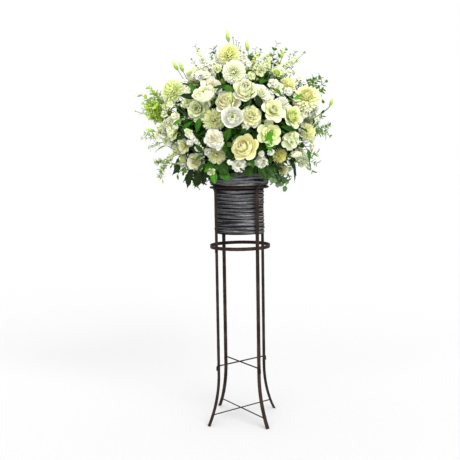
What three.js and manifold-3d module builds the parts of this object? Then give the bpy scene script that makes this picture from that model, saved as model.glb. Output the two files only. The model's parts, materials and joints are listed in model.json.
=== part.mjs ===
// Standing flower arrangement: white, cream and yellow blooms with loose green foliage,
// in wet foam in a grey vine basket, carried by a tall four-legged iron stand.
// Millimetres, +Z up, the front faces -Y.
import * as THREE from 'three';
import Module from 'manifold-3d';
import { mergeVertices } from 'three/addons/utils/BufferGeometryUtils.js';

const wasm = await Module();
wasm.setup();

// Space between pieces that touch
const GAP = 0.3;

// Stand: flat iron bars, two rings and two pairs of crossed rods
const STAND_TURN = THREE.MathUtils.degToRad(36);
const LEG_COUNT = 4;
const LEG_WIDTH = 18;
const LEG_THICKNESS = 5;
const LEG_RADIUS = 132.5;
const LEG_BEND_START = 235;
const LEG_BEND_RADIUS = 490;
const LEG_FLARE_RADIUS = 30;
const LEG_FLARE_ANGLE = THREE.MathUtils.degToRad(74);
const LEG_BEND_STEPS = 6;
const LEG_FLARE_STEPS = 4;
const UPPER_RING_Z = 1095.5;
const UPPER_RING_ROD = 4.8;
const UPPER_RING_SIDES = 20;

// The upper ring rests on the flared tops of the legs, at the second corner of their bend
const SEAT_ANGLE = (LEG_FLARE_ANGLE * 2) / LEG_FLARE_STEPS;
const SEAT_REACH = LEG_FLARE_RADIUS + LEG_THICKNESS / 2 + GAP + UPPER_RING_ROD;
const LEG_FLARE_START = UPPER_RING_Z - SEAT_REACH * Math.sin(SEAT_ANGLE);
const UPPER_RING_RADIUS = LEG_RADIUS + LEG_FLARE_RADIUS - SEAT_REACH * Math.cos(SEAT_ANGLE);

const LOWER_RING_Z = 815;
const LOWER_RING_HEIGHT = 16;
const LOWER_RING_THICKNESS = 4;
const LOWER_RING_SIDES = 24;
const LUG_WIDTH = 8;
const LUG_DROP = 16;
const LUG_OVERLAP = 4;
const HIGH_ROD_Z = 270;
const HIGH_ROD_RADIUS = 3.2;
const HOOK_REACH = 7;
const HOOK_BEND = 4.5;
const HOOK_DROP = 20;
const LOW_ROD_Z = 45;
const LOW_ROD_RADIUS = 2.7;
const ROD_SIDES = 6;
const HOLE_SIDES = 8;

// Basket: courses of vine below the ring, waisted at mid height, and a flared collar above it
const BASKET_BOTTOM = 882;
const BASKET_RADIUS = 116;
const BASKET_COURSES = 12;
const BASKET_GROOVE = 4;
const BASKET_WAIST_Z = 1000;
const BASKET_SWELL = 4;
const BASKET_NECK = 2;
const BASKET_INSIDE = 108;
const BASKET_FLOOR = 8;
const COLLAR_Z = UPPER_RING_Z + UPPER_RING_ROD + GAP;
const COLLAR_FOOT = { radius: BASKET_RADIUS + 18, bulge: 3, height: 12 };
const COLLAR_RADIUS = 140;
const COLLAR_COURSES = 3;
const RIM_Z = 1164;
const RIM = { outer: COLLAR_RADIUS - 5, inner: COLLAR_RADIUS - 11, dip: 2 };
const THROAT = { radius: BASKET_INSIDE + 10, z: COLLAR_Z + 14, foot: COLLAR_Z - 4 };
const ROUND_SIDES = 16;

// Liner pot and wet foam
const LINER_WALL = 2.4;
const LINER_TOP = 1157;
const LINER_RADIUS = BASKET_INSIDE - 2 * GAP;
const FOAM_RADIUS = LINER_RADIUS - LINER_WALL - GAP;
const FOAM_TOP = 1192;
const FOAM_BEVEL = { width: 10, height: 14 };
const HOLE_RADIUS = 15;
const HOLE_BOTTOM = 1100;
const HOLE_CENTRE = 56;
const BUNDLE_TOP = FOAM_TOP + 8;
const BUNDLE_RADIUS = 13;
const BUNDLE_SIDES = 8;

// Flowers: the outer surface of the mass is an ellipsoid
const DOME = { x: 350, front: 260, back: 205, z: 270, middle: 1430 };
const FACE_FROM = new THREE.Vector3(0, 0, 1300);
const FACE_FORWARD = 170;
const FACE_FORWARD_DEPTH = 120;
const SECTORS = 7;
const SECTOR_START = THREE.MathUtils.degToRad(-100);
const STEM_RADIUS = 2.2;
const STEM_SIDES = 3;
const STEM_SINK = 4;
const STEM_TAPER = 0.3;
const STEM_INSET = 5;
const STEM_LEAN = 0.25;
const STEM_RISE = 70;
const STEM_SWING = 0.25;
const STEM_SPACE = 3;
const STEM_TESTS = 20;
const STEM_LIFTS = [0, 30, 60, -30, 90, 120];
const STRAIGHT_END = 14;
const STRAIGHT_TIP_Z = 1500;
const STRAIGHT_TIP_SPAN = 300;

// Colours of the petals, greens and made pieces
const COLOURS = {
  white: 0xf4f4ea,
  cream: 0xf1efcf,
  yellow: 0xeee99a,
  lime: 0xdde6a4,
  green: 0x4c7c2c,
  iron: 0x3f2f29,
  vine: 0x85838a,
  liner: 0x23262a,
  foam: 0x3d6b45,
};

// Blooms of the front: name, form, colour, x, z, radius, and how far they stand out of the dome
const BLOOMS = [
  ['mum_1', 'mum', 'yellow', -35, 1680, 52, 0],
  ['mum_2', 'mum', 'white', -15, 1580, 50, 15],
  ['mum_3', 'mum', 'cream', -290, 1527, 54, 0],
  ['mum_4', 'mum', 'cream', -112, 1388, 47, -25],
  ['mum_5', 'mum', 'yellow', 238, 1562, 38, -30],
  ['mum_6', 'mum', 'cream', 30, 1514, 44, -8],
  ['mum_7', 'mum', 'yellow', 311, 1339, 41, 0],
  ['mum_8', 'mum', 'cream', -97, 1243, 40, 0],
  ['rose_1', 'rose', 'cream', -124, 1552, 37, -35],
  ['rose_2', 'rose', 'cream', -50, 1466, 49, -30],
  ['rose_3', 'rose', 'lime', 237, 1402, 42, 0],
  ['rose_4', 'rose', 'cream', -190, 1222, 40, 10],
  ['ranunculus_1', 'rose', 'white', -133, 1492, 46, 25],
  ['ranunculus_2', 'rose', 'white', -22, 1399, 43, 28],
  ['ranunculus_3', 'rose', 'yellow', 22, 1275, 54, 5],
  ['lisianthus_1', 'rose', 'cream', -183, 1443, 43, -25],
  ['lisianthus_2', 'rose', 'cream', 150, 1427, 45, 0],
  ['lisianthus_3', 'rose', 'white', 108, 1511, 42, -42],
  ['lisianthus_4', 'rose', 'lime', 87, 1600, 39, 0],
  ['lisianthus_5', 'rose', 'white', 135, 1326, 46, 0],
  ['carnation_1', 'mum', 'white', -100, 1320, 41, 25],
  ['carnation_2', 'mum', 'yellow', 57, 1404, 41, -20],
  ['carnation_3', 'mum', 'yellow', 192, 1180, 26, 10],
  ['dahlia_1', 'mum', 'white', 289, 1484, 58, 15],
  ['sweetpea_1', 'sweetpea', 'white', 226, 1303, 36, 0],
  ['sweetpea_2', 'sweetpea', 'white', 2, 1208, 31, 15],
  ['sweetpea_3', 'sweetpea', 'white', 98, 1212, 33, 5],
];

// Spires of small florets: name, colour, foot, tip, and the radius at the foot
const SPIRES = [
  ['spire_1', 'white', [-128, -105, 1592], [-172, -72, 1705], 34],
  ['spire_2', 'white', [150, -95, 1592], [268, -42, 1672], 27],
  ['spire_3', 'white', [-262, -96, 1412], [-368, -50, 1368], 36],
  ['spire_4', 'white', [-232, -172, 1352], [-152, -222, 1266], 20],
  ['spire_5', 'white', [-218, -96, 1305], [-318, -40, 1232], 32],
  ['spire_6', 'white', [272, -60, 1262], [318, -28, 1185], 29],
  ['spire_7', 'white', [52, -62, 1608], [92, -70, 1688], 28],
];
const SPIRE_TIERS = 5;
const SPIRE_SIDES = 8;
const SPIRE_TAPER = 0.55;
const SPIRE_SWING = 0.08;

// Rings of one tier of florets: share of the tier's height, reach, and depth of its notches
const SPIRE_TIER_RINGS = [[0.35, 1, 0.42], [0.8, 0.5, 0]];

// Groups of three touching blooms on the sides and back: name, form, colour,
// azimuth, height above the middle of the dome as a share of its half height, radius
const GROUPS = [
  ['back_roses_1', 'smallrose', 'white', 18, 0.1, 44],
  ['back_mums_1', 'smallmum', 'cream', 62, 0.48, 46],
  ['back_roses_2', 'smallrose', 'cream', 70, -0.42, 46],
  ['back_mums_2', 'smallmum', 'yellow', 118, 0.02, 48],
  ['back_roses_3', 'smallrose', 'lime', 132, 0.62, 44],
  ['back_mums_3', 'smallmum', 'white', 158, -0.35, 44],
];
const GROUP_SPREAD = 0.94;

// Long closed buds on their stems: tip and length
const BUDS = [
  [[-46, -53, 1796], 52],
  [[40, -47, 1752], 48],
  [[133, -135, 1672], 46],
  [[-292, -42, 1668], 46],
  [[-262, -37, 1664], 46],
  [[-425, -30, 1366], 42],
  [[428, -36, 1486], 40],
];
const BUD_RADIUS = 8;
const BUD_SIDES = 6;
const BUD_SINK = 0.9;

// Leafy sprays: via point, tip, number of leaves, leaf length, leaf width
const SPRAYS = [
  [[-300, 25, 1400], [-428, 0, 1520], 8, 42, 22],
  [[-300, -20, 1330], [-428, -40, 1325], 6, 38, 20],
  [[-320, -30, 1290], [-362, -35, 1125], 8, 32, 18],
  [[-120, -20, 1600], [-190, -40, 1738], 6, 34, 18],
  [[-4, -10, 1640], [-8, -40, 1762], 4, 22, 11],
  [[140, 0, 1620], [190, -20, 1742], 6, 34, 18],
  [[190, 10, 1600], [300, -30, 1700], 6, 34, 18],
  [[290, 10, 1480], [372, -10, 1562], 6, 50, 18],
  [[320, -10, 1380], [418, -40, 1300], 8, 40, 18],
  [[-300, 120, 1380], [-385, 140, 1470], 6, 56, 28],
  [[-70, 165, 1580], [-115, 185, 1712], 6, 56, 28],
  [[70, 150, 1580], [60, 180, 1725], 6, 56, 28],
  [[240, 130, 1480], [330, 140, 1600], 6, 56, 28],
  [[0, 200, 1330], [20, 285, 1400], 6, 56, 28],
];
const SPRAY_LEAFY = 0.4;
const SPRAY_TOP = 0.97;
const SPRAY_STEPS = 5;
const SPRAY_OPEN = 0.85;
const SPRAY_TIP_OPEN = 0.5;

// Skirt of broad leaves that arches over the rim
const SKIRT_LEAF = { length: 78, width: 48 };
const STEM_LEAF = { length: 84, width: 40 };
const STEM_LEAF_SHARES = [0.62, 0.82];
const STEM_LEAF_OPEN = 0.8;
const SKIRT_LOW = 1112;
const SKIRT_HIGH = 1150;
const SKIRT_NEAR = 195;
const SKIRT_FAR = 235;
const SKIRT_RISE = [70, 110];
const SKIRT_OUT = 25;
const SKIRT_TURN = 0.22;
const SKIRT_WIDEST_TURN = 0.36;
const SKIRT_TRIES = 16;
const SKIRT_OPEN = 0.7;

// Leaves at the end of a skirt stem: share of the stem, and side of it
const SKIRT_LEAVES = [[0.97, 0], [0.97, 1], [0.8, 2]];

// Leaf thickness at the rib
const LEAF_THICKNESS = 1.2;
const LEAF_DROOP = 0.16;
const LEAF_FOOT = 4;
const LEAF_SIZES = [1, 0.8, 0.62];

// Stations along a leaf: share of the length, share of the width
const SMALL = [[0.45, 1]];
const OVAL = [[0.32, 1], [0.68, 0.72]];
const LOBED = [[0.22, 1], [0.45, 0.55], [0.66, 0.72]];

// Petal forms, base to crown: angle from the crown in degrees, reach, petals, notch depth, turn
const FORMS = {
  rose: {
    sides: 12,
    depth: 0.82,
    base: 0.66,
    crown: 0.74,
    rings: [
      [112, 0.98, 4, 0.14, 0],
      [96, 0.78, 0, 0, 0],
      [76, 1, 4, 0.12, 1],
      [62, 0.76, 0, 0, 0],
      [44, 0.97, 4, 0.12, 2],
      [31, 0.72, 0, 0, 0],
      [17, 0.9, 3, 0.12, 0],
    ],
  },
  mum: {
    sides: 12,
    depth: 0.86,
    base: 0.64,
    crown: 0.82,
    rings: [
      [122, 1, 6, 0.22, 0],
      [110, 0.78, 0, 0, 0],
      [94, 1, 6, 0.22, 1],
      [82, 0.78, 0, 0, 0],
      [66, 1, 6, 0.22, 0],
      [53, 0.78, 0, 0, 0],
      [36, 0.98, 6, 0.22, 1],
    ],
  },
  sweetpea: {
    sides: 10,
    depth: 0.9,
    base: 0.5,
    crown: 0.6,
    rings: [
      [140, 0.6, 0, 0, 0],
      [104, 1, 5, 0.4, 0],
      [80, 0.62, 0, 0, 0],
      [56, 0.97, 5, 0.42, 1],
      [30, 0.55, 0, 0, 0],
    ],
  },
  smallrose: {
    sides: 9,
    depth: 0.8,
    base: 0.7,
    crown: 0.7,
    rings: [
      [122, 0.9, 3, 0.1, 1],
      [94, 1, 3, 0.12, 0],
      [74, 0.76, 0, 0, 0],
      [48, 0.98, 3, 0.12, 1],
      [28, 0.72, 0, 0, 0],
    ],
  },
  smallmum: {
    sides: 10,
    depth: 0.84,
    base: 0.7,
    crown: 0.84,
    rings: [
      [118, 0.98, 5, 0.22, 0],
      [98, 0.76, 0, 0, 0],
      [74, 1, 5, 0.22, 1],
      [52, 0.76, 0, 0, 0],
      [30, 0.97, 5, 0.22, 0],
    ],
  },
};

const UP = new THREE.Vector3(0, 0, 1);
const radians = THREE.MathUtils.degToRad;
const vector = (x, y, z) => new THREE.Vector3(x, y, z);
const polarPoint = (radius, azimuth, z) =>
  vector(radius * Math.cos(azimuth), radius * Math.sin(azimuth), z);

// One seeded sequence for everything that varies by chance
let seed = 20117;
function random(low, high) {
  seed = (seed * 16807) % 2147483647;
  return low + ((high - low) * seed) / 2147483647;
}

// Closed mesh from rings of equal count between two end points
function loft(first, rings, last) {
  const points = [first, ...rings.flat(), last];
  const count = rings[0].length;
  const at = (ring, side) => 1 + ring * count + (side % count);
  const end = points.length - 1;
  const top = rings.length - 1;
  const index = [];
  for (let side = 0; side < count; side++) {
    index.push(0, at(0, side + 1), at(0, side));
    for (let ring = 0; ring < top; ring++) {
      index.push(at(ring, side), at(ring, side + 1), at(ring + 1, side));
      index.push(at(ring, side + 1), at(ring + 1, side + 1), at(ring + 1, side));
    }
    index.push(end, at(top, side), at(top, side + 1));
  }
  const geometry = new THREE.BufferGeometry().setFromPoints(points);
  geometry.setIndex(index);
  geometry.computeVertexNormals();
  return geometry;
}

function toSolid(geometry) {
  const bare = geometry.clone();
  bare.deleteAttribute('normal');
  bare.deleteAttribute('uv');
  const merged = mergeVertices(bare, 1e-3);
  const vertProperties = new Float32Array(merged.attributes.position.array);
  const triVerts = new Uint32Array(merged.index.array);
  return new wasm.Manifold(new wasm.Mesh({ numProp: 3, vertProperties, triVerts }));
}

function toGeometry(solid) {
  const { vertProperties, triVerts } = solid.getMesh();
  const geometry = new THREE.BufferGeometry();
  geometry.setAttribute('position', new THREE.BufferAttribute(vertProperties, 3));
  geometry.setIndex(new THREE.BufferAttribute(triVerts, 1));
  geometry.computeVertexNormals();
  return geometry;
}

function joined(geometries) {
  const solids = geometries.map(toSolid);
  return toGeometry(solids.reduce((sum, solid) => sum.add(solid)));
}

function finish(colour, roughness, metalness) {
  return new THREE.MeshStandardMaterial({ color: COLOURS[colour], roughness, metalness });
}

const arrangement = new THREE.Group();

function addNode(name, geometry, material) {
  const mesh = new THREE.Mesh(geometry, material);
  mesh.name = name;
  arrangement.add(mesh);
  return mesh;
}

// Ring of points about a path point, square to the direction of the path there
function sectionRing(centre, direction, side, radius, sides) {
  const across = side.clone().cross(direction).normalize().negate();
  const points = [];
  for (let i = 0; i < sides; i++) {
    const angle = (2 * Math.PI * i) / sides;
    const point = centre.clone().addScaledVector(side, radius * Math.cos(angle));
    points.push(point.addScaledVector(across, radius * Math.sin(angle)));
  }
  return points;
}

// Round bar along points, its sections carried along the path without twist
function bar(points, radiusAt, sides) {
  let side = null;
  const rings = points.map((point, i) => {
    const before = points[Math.max(i - 1, 0)];
    const after = points[Math.min(i + 1, points.length - 1)];
    const direction = after.clone().sub(before).normalize();
    const reference = side ?? (Math.abs(direction.z) < 0.9 ? UP : vector(1, 0, 0));
    side = reference.clone().addScaledVector(direction, -reference.dot(direction)).normalize();
    return sectionRing(point, direction, side, radiusAt(i / (points.length - 1)), sides);
  });
  return loft(points[0], rings, points[points.length - 1]);
}

// Stand

function legRadiusAt(z) {
  const below = Math.max(LEG_BEND_START - z, 0);
  return LEG_RADIUS + LEG_BEND_RADIUS - Math.sqrt(LEG_BEND_RADIUS ** 2 - below ** 2);
}

// Outline of a leg in its own upright plane, cut flat where it meets the floor
function legOutline() {
  const inner = [];
  const outer = [];
  for (let i = 0; i <= LEG_BEND_STEPS; i++) {
    const z = (LEG_BEND_START * i) / LEG_BEND_STEPS;
    const slope = Math.asin((LEG_BEND_START - z) / LEG_BEND_RADIUS);
    const half = LEG_THICKNESS / 2 / Math.cos(slope);
    inner.push(new THREE.Vector2(legRadiusAt(z) - half, z));
    outer.push(new THREE.Vector2(legRadiusAt(z) + half, z));
  }
  const pivot = LEG_RADIUS + LEG_FLARE_RADIUS;
  for (let i = 0; i <= LEG_FLARE_STEPS; i++) {
    const angle = (LEG_FLARE_ANGLE * i) / LEG_FLARE_STEPS;
    for (const [edge, radius] of [
      [inner, LEG_FLARE_RADIUS + LEG_THICKNESS / 2],
      [outer, LEG_FLARE_RADIUS - LEG_THICKNESS / 2],
    ]) {
      const x = pivot - radius * Math.cos(angle);
      edge.push(new THREE.Vector2(x, LEG_FLARE_START + radius * Math.sin(angle)));
    }
  }
  return new THREE.Shape([...outer, ...inner.reverse()]);
}

const legAzimuth = (leg) => STAND_TURN + (2 * Math.PI * leg) / LEG_COUNT;
const highRodZ = (leg) => HIGH_ROD_Z + (leg % 2 === 0 ? 1 : -1) * (HIGH_ROD_RADIUS + GAP / 2);
const lowRodZ = (leg) => LOW_ROD_Z + (leg % 2 === 0 ? 1 : -1) * (LOW_ROD_RADIUS + GAP / 2);

function legGeometry(leg) {
  const blade = new THREE.ExtrudeGeometry(legOutline(), { depth: LEG_WIDTH, bevelEnabled: false });
  blade.translate(0, 0, -LEG_WIDTH / 2);
  blade.rotateX(Math.PI / 2);
  const drill = new THREE.CylinderGeometry(1, 1, 4 * LEG_THICKNESS, HOLE_SIDES);
  drill.scale(HIGH_ROD_RADIUS + GAP, 1, HIGH_ROD_RADIUS + GAP);
  drill.rotateZ(Math.PI / 2);
  drill.translate(LEG_RADIUS, 0, highRodZ(leg));
  return toGeometry(toSolid(blade).subtract(toSolid(drill)));
}

// Round rod ring of the top, made as a lathe profile that closes on itself. Its first corner
// points to the middle of the flare that it rests on.
function upperRingGeometry() {
  const profile = [];
  for (let i = 0; i <= ROD_SIDES; i++) {
    const angle = (2 * Math.PI * i) / ROD_SIDES - SEAT_ANGLE;
    const x = UPPER_RING_RADIUS + UPPER_RING_ROD * Math.cos(angle);
    profile.push(new THREE.Vector2(x, UPPER_RING_Z + UPPER_RING_ROD * Math.sin(angle)));
  }
  return lathe(profile, UPPER_RING_SIDES);
}

function lathe(profile, sides) {
  const geometry = new THREE.LatheGeometry(profile, sides);
  geometry.rotateX(Math.PI / 2);
  return geometry;
}

// Flat band round the outside of the legs, with a lug down each leg
function lowerRingGeometry() {
  const legCorner = Math.hypot(LEG_RADIUS + LEG_THICKNESS / 2, LEG_WIDTH / 2);
  const inside = (legCorner + GAP) / Math.cos(Math.PI / LOWER_RING_SIDES);
  const outside = inside + LOWER_RING_THICKNESS;
  const low = LOWER_RING_Z;
  const high = LOWER_RING_Z + LOWER_RING_HEIGHT;
  const corners = [[inside, low], [outside, low], [outside, high], [inside, high], [inside, low]];
  const pieces = [lathe(corners.map(([x, y]) => new THREE.Vector2(x, y)), LOWER_RING_SIDES)];
  const lugHeight = LUG_DROP + LUG_OVERLAP;
  for (let leg = 0; leg < LEG_COUNT; leg++) {
    const lug = new THREE.BoxGeometry(LOWER_RING_THICKNESS, LUG_WIDTH, lugHeight);
    lug.translate(legCorner + GAP + LOWER_RING_THICKNESS / 2, 0, low + LUG_OVERLAP - lugHeight / 2);
    lug.rotateZ(legAzimuth(leg));
    pieces.push(lug);
  }
  return joined(pieces);
}

// High rod: through both legs, its ends hooked down over their outer faces
function highRodGeometry(z) {
  const face = LEG_RADIUS + LEG_THICKNESS / 2;
  const half = [[0, 0], [face + HOOK_REACH - HOOK_BEND, 0]];
  for (const angle of [30, 60, 90]) {
    const x = face + HOOK_REACH - HOOK_BEND + HOOK_BEND * Math.sin(radians(angle));
    half.push([x, HOOK_BEND * (Math.cos(radians(angle)) - 1)]);
  }
  half.push([face + HOOK_REACH + 1, -HOOK_DROP]);
  const right = half.slice(1).map(([x, drop]) => vector(x, 0, z + drop));
  const left = right.map((point) => vector(-point.x, 0, point.z)).reverse();
  return bar([...left, ...right], () => HIGH_ROD_RADIUS, ROD_SIDES);
}

// Low rod: straight between the inner faces of two legs
function lowRodGeometry(z) {
  const slope = Math.asin((LEG_BEND_START - z) / LEG_BEND_RADIUS);
  const half = LEG_THICKNESS / 2 / Math.cos(slope);
  const reach = legRadiusAt(z + LOW_ROD_RADIUS) - half - GAP;
  return bar([vector(-reach, 0, z), vector(reach, 0, z)], () => LOW_ROD_RADIUS, ROD_SIDES);
}

function addStand() {
  const iron = () => finish('iron', 0.6, 0.7);
  addNode('upper_ring', upperRingGeometry(), iron());
  addNode('lower_ring', lowerRingGeometry(), iron());
  for (let leg = 0; leg < LEG_COUNT; leg++) {
    addNode(`leg_${leg + 1}`, legGeometry(leg), iron()).rotation.z = legAzimuth(leg);
  }
  for (const pair of [0, 1]) {
    const letter = 'ab'[pair];
    const high = addNode(`high_rod_${letter}`, highRodGeometry(highRodZ(pair)), iron());
    const low = addNode(`low_rod_${letter}`, lowRodGeometry(lowRodZ(pair)), iron());
    high.rotation.z = legAzimuth(pair);
    low.rotation.z = legAzimuth(pair);
  }
}

// Basket, liner and foam

// Half outline of the basket, one crest and one groove a course
function basketProfile() {
  const outline = [[0, BASKET_BOTTOM], [BASKET_RADIUS, BASKET_BOTTOM]];
  const pitch = (COLLAR_Z - BASKET_BOTTOM) / BASKET_COURSES;
  for (let course = 0; course < BASKET_COURSES; course++) {
    const z = BASKET_BOTTOM + pitch * (course + 0.5);
    const swell = BASKET_SWELL * Math.min(((z - BASKET_WAIST_Z) / 100) ** 2, 1);
    const last = course === BASKET_COURSES - 1;
    outline.push([BASKET_RADIUS + (last ? BASKET_NECK : swell), z]);
    outline.push([BASKET_RADIUS + (last ? BASKET_NECK : swell - BASKET_GROOVE), z + pitch / 2]);
  }
  const collarLow = COLLAR_Z + COLLAR_FOOT.height;
  outline.push([COLLAR_FOOT.radius, COLLAR_Z]);
  outline.push([COLLAR_FOOT.radius + COLLAR_FOOT.bulge, (COLLAR_Z + collarLow) / 2]);
  const collarPitch = (RIM_Z - collarLow) / COLLAR_COURSES;
  for (let course = 0; course < COLLAR_COURSES; course++) {
    const z = collarLow + collarPitch * (course + 0.5);
    outline.push([COLLAR_RADIUS - BASKET_GROOVE, z - collarPitch / 2], [COLLAR_RADIUS, z]);
  }
  outline.push([RIM.outer, RIM_Z], [RIM.inner, RIM_Z - RIM.dip]);
  outline.push([THROAT.radius, THROAT.z], [BASKET_INSIDE, THROAT.foot]);
  outline.push([BASKET_INSIDE, BASKET_BOTTOM + BASKET_FLOOR], [0, BASKET_BOTTOM + BASKET_FLOOR]);
  return outline.map(([x, y]) => new THREE.Vector2(x, y));
}

function linerProfile() {
  const floor = BASKET_BOTTOM + BASKET_FLOOR + GAP;
  const inside = LINER_RADIUS - LINER_WALL;
  return [
    [0, floor],
    [LINER_RADIUS, floor],
    [LINER_RADIUS, LINER_TOP],
    [inside, LINER_TOP],
    [inside, floor + LINER_WALL],
    [0, floor + LINER_WALL],
  ].map(([x, y]) => new THREE.Vector2(x, y));
}

const sectorMiddle = (sector) => SECTOR_START + ((sector + 0.5) * 2 * Math.PI) / SECTORS;

// Foam block with one plain hole for the stems of each sector
function foamGeometry() {
  const low = BASKET_BOTTOM + BASKET_FLOOR + LINER_WALL + 2 * GAP;
  const outline = [
    [0, low],
    [FOAM_RADIUS, low],
    [FOAM_RADIUS, FOAM_TOP - FOAM_BEVEL.height],
    [FOAM_RADIUS - FOAM_BEVEL.width, FOAM_TOP],
    [0, FOAM_TOP],
  ];
  let foam = toSolid(lathe(outline.map(([x, y]) => new THREE.Vector2(x, y)), ROUND_SIDES));
  for (let sector = 0; sector < SECTORS; sector++) {
    const depth = FOAM_TOP + FOAM_BEVEL.height - HOLE_BOTTOM;
    const hole = new THREE.CylinderGeometry(HOLE_RADIUS, HOLE_RADIUS, depth, HOLE_SIDES);
    hole.rotateX(Math.PI / 2);
    const centre = polarPoint(HOLE_CENTRE, sectorMiddle(sector), HOLE_BOTTOM + depth / 2);
    hole.translate(centre.x, centre.y, centre.z);
    foam = foam.subtract(toSolid(hole));
  }
  return toGeometry(foam);
}

function addHolder() {
  addNode('basket', lathe(basketProfile(), ROUND_SIDES), finish('vine', 0.9, 0));
  addNode('liner', lathe(linerProfile(), ROUND_SIDES), finish('liner', 0.6, 0));
  addNode('foam', foamGeometry(), finish('foam', 0.95, 0));
}

// Flowers

// Depth of the dome at a place seen from the front
function domeFront(x, z) {
  const left = 1 - (x / DOME.x) ** 2 - ((z - DOME.middle) / DOME.z) ** 2;
  return -DOME.front * Math.sqrt(Math.max(left, 0.004));
}

function domeNormal(point) {
  const depth = point.y < 0 ? DOME.front : DOME.back;
  const z = (point.z - DOME.middle) / DOME.z ** 2;
  return vector(point.x / DOME.x ** 2, point.y / depth ** 2, z).normalize();
}

// Direction that a bloom faces: outwards, and those of the front turned to the viewer
function facing(centre) {
  const forward = FACE_FORWARD * THREE.MathUtils.clamp(-centre.y / FACE_FORWARD_DEPTH, 0, 1);
  return centre.clone().sub(FACE_FROM).add(vector(0, -forward, 0)).normalize();
}

function headGeometry(form, radius) {
  const { sides, depth, base, crown, rings } = FORMS[form];
  const points = rings.map(([angle, reach, petals, notch, turn]) => {
    const polar = radians(angle);
    const perPetal = petals ? sides / petals : sides + 1;
    const ring = [];
    for (let side = 0; side < sides; side++) {
      const cut = (side + turn) % perPetal === 0 && petals ? notch : 0;
      const length = radius * reach * (1 - cut);
      const azimuth = (2 * Math.PI * side) / sides;
      const z = length * Math.cos(polar) * depth;
      ring.push(polarPoint(length * Math.sin(polar), azimuth, z));
    }
    return ring;
  });
  return loft(vector(0, 0, -base * radius * depth), points, vector(0, 0, crown * radius * depth));
}

const baseDistance = (form, radius) => FORMS[form].base * FORMS[form].depth * radius + GAP;

function turnTo(object, direction) {
  object.quaternion.setFromUnitVectors(UP, direction);
  return object;
}

// Spire of florets round a slim core, each tier lobed and turned against the next
function spireGeometry(foot, tip, radius) {
  const along = tip.clone().sub(foot);
  const direction = along.clone().normalize();
  const side = vector(direction.y, -direction.x, 0).normalize();
  const rings = [];
  for (let tier = 0; tier < SPIRE_TIERS; tier++) {
    const size = radius * (1 - SPIRE_TAPER * (tier / (SPIRE_TIERS - 1)) ** 1.5);
    for (const [share, reach, notch] of SPIRE_TIER_RINGS) {
      const centre = foot.clone().addScaledVector(along, (tier + share) / SPIRE_TIERS);
      const ring = sectionRing(centre, direction, side, size * reach, SPIRE_SIDES);
      ring.forEach((point, i) => {
        if ((i + tier) % 2 === 0) point.lerp(centre, notch);
      });
      rings.push(ring);
    }
  }
  return loft(foot, rings, tip);
}

// Everything that needs a stem: where the stem ends and the direction it ends in
const stemEnds = [];
const headSpheres = [];

function addBlooms() {
  for (const [name, form, colour, x, z, radius, lift] of BLOOMS) {
    const centre = vector(x, domeFront(x, z), z);
    centre.addScaledVector(domeNormal(centre), lift);
    const direction = facing(centre);
    const mesh = addNode(name, headGeometry(form, radius), finish(colour, 0.7, 0));
    turnTo(mesh, direction).position.copy(centre);
    const tip = centre.clone().addScaledVector(direction, -baseDistance(form, radius));
    stemEnds.push({ tip, direction, leaves: STEM_LEAF_SHARES });
    headSpheres.push({ centre, radius });
  }
}

function addSpires() {
  for (const [name, colour, footPlace, tipPlace, radius] of SPIRES) {
    const foot = vector(...footPlace);
    const tip = vector(...tipPlace);
    addNode(name, spireGeometry(foot, tip, radius), finish(colour, 0.7, 0));
    const direction = tip.clone().sub(foot).normalize();
    const end = foot.clone().addScaledVector(direction, -GAP);
    stemEnds.push({ tip: end, direction, swing: SPIRE_SWING });
    for (const share of [0.15, 0.5, 0.85]) {
      headSpheres.push({ centre: foot.clone().lerp(tip, share), radius: radius * (1 - 0.4 * share) });
    }
  }
}

// Three blooms that touch, leaning apart from one stem
function addGroups() {
  for (const [name, form, colour, azimuthDegrees, height, radius] of GROUPS) {
    const azimuth = radians(azimuthDegrees);
    const level = Math.sqrt(1 - height ** 2);
    const middle = vector(
      DOME.x * level * Math.cos(azimuth),
      DOME.back * level * Math.sin(azimuth),
      DOME.middle + DOME.z * height,
    );
    const outwards = domeNormal(middle);
    const frame = turnTo(new THREE.Object3D(), outwards);
    const pieces = [];
    for (let i = 0; i < 3; i++) {
      const angle = (2 * Math.PI * i) / 3 + azimuth;
      const offset = polarPoint(radius * GROUP_SPREAD, angle, 0).applyQuaternion(frame.quaternion);
      const centre = middle.clone().add(offset);
      const head = headGeometry(form, radius);
      const direction = outwards.clone().multiplyScalar(2).add(offset.normalize()).normalize();
      head.applyQuaternion(turnTo(new THREE.Object3D(), direction).quaternion);
      head.translate(centre.x, centre.y, centre.z);
      pieces.push(head);
      headSpheres.push({ centre, radius });
      if (i > 0) continue;
      const tip = centre.clone().addScaledVector(direction, -baseDistance(form, radius));
      stemEnds.push({ tip, direction });
    }
    addNode(name, joined(pieces), finish(colour, 0.7, 0));
  }
}

// Greens

function sectorOf(point) {
  const turn = (Math.atan2(point.y, point.x) - SECTOR_START) / (2 * Math.PI);
  return Math.floor((turn - Math.floor(turn)) * SECTORS);
}

// Distance of a point from the nearer side plane of its sector's wedge, negative outside it
function insideSector(point, sector) {
  const turn = Math.atan2(point.y, point.x) - sectorMiddle(sector);
  const off = Math.abs(Math.atan2(Math.sin(turn), Math.cos(turn)));
  return Math.hypot(point.x, point.y) * Math.sin(Math.PI / SECTORS - off);
}

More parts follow.
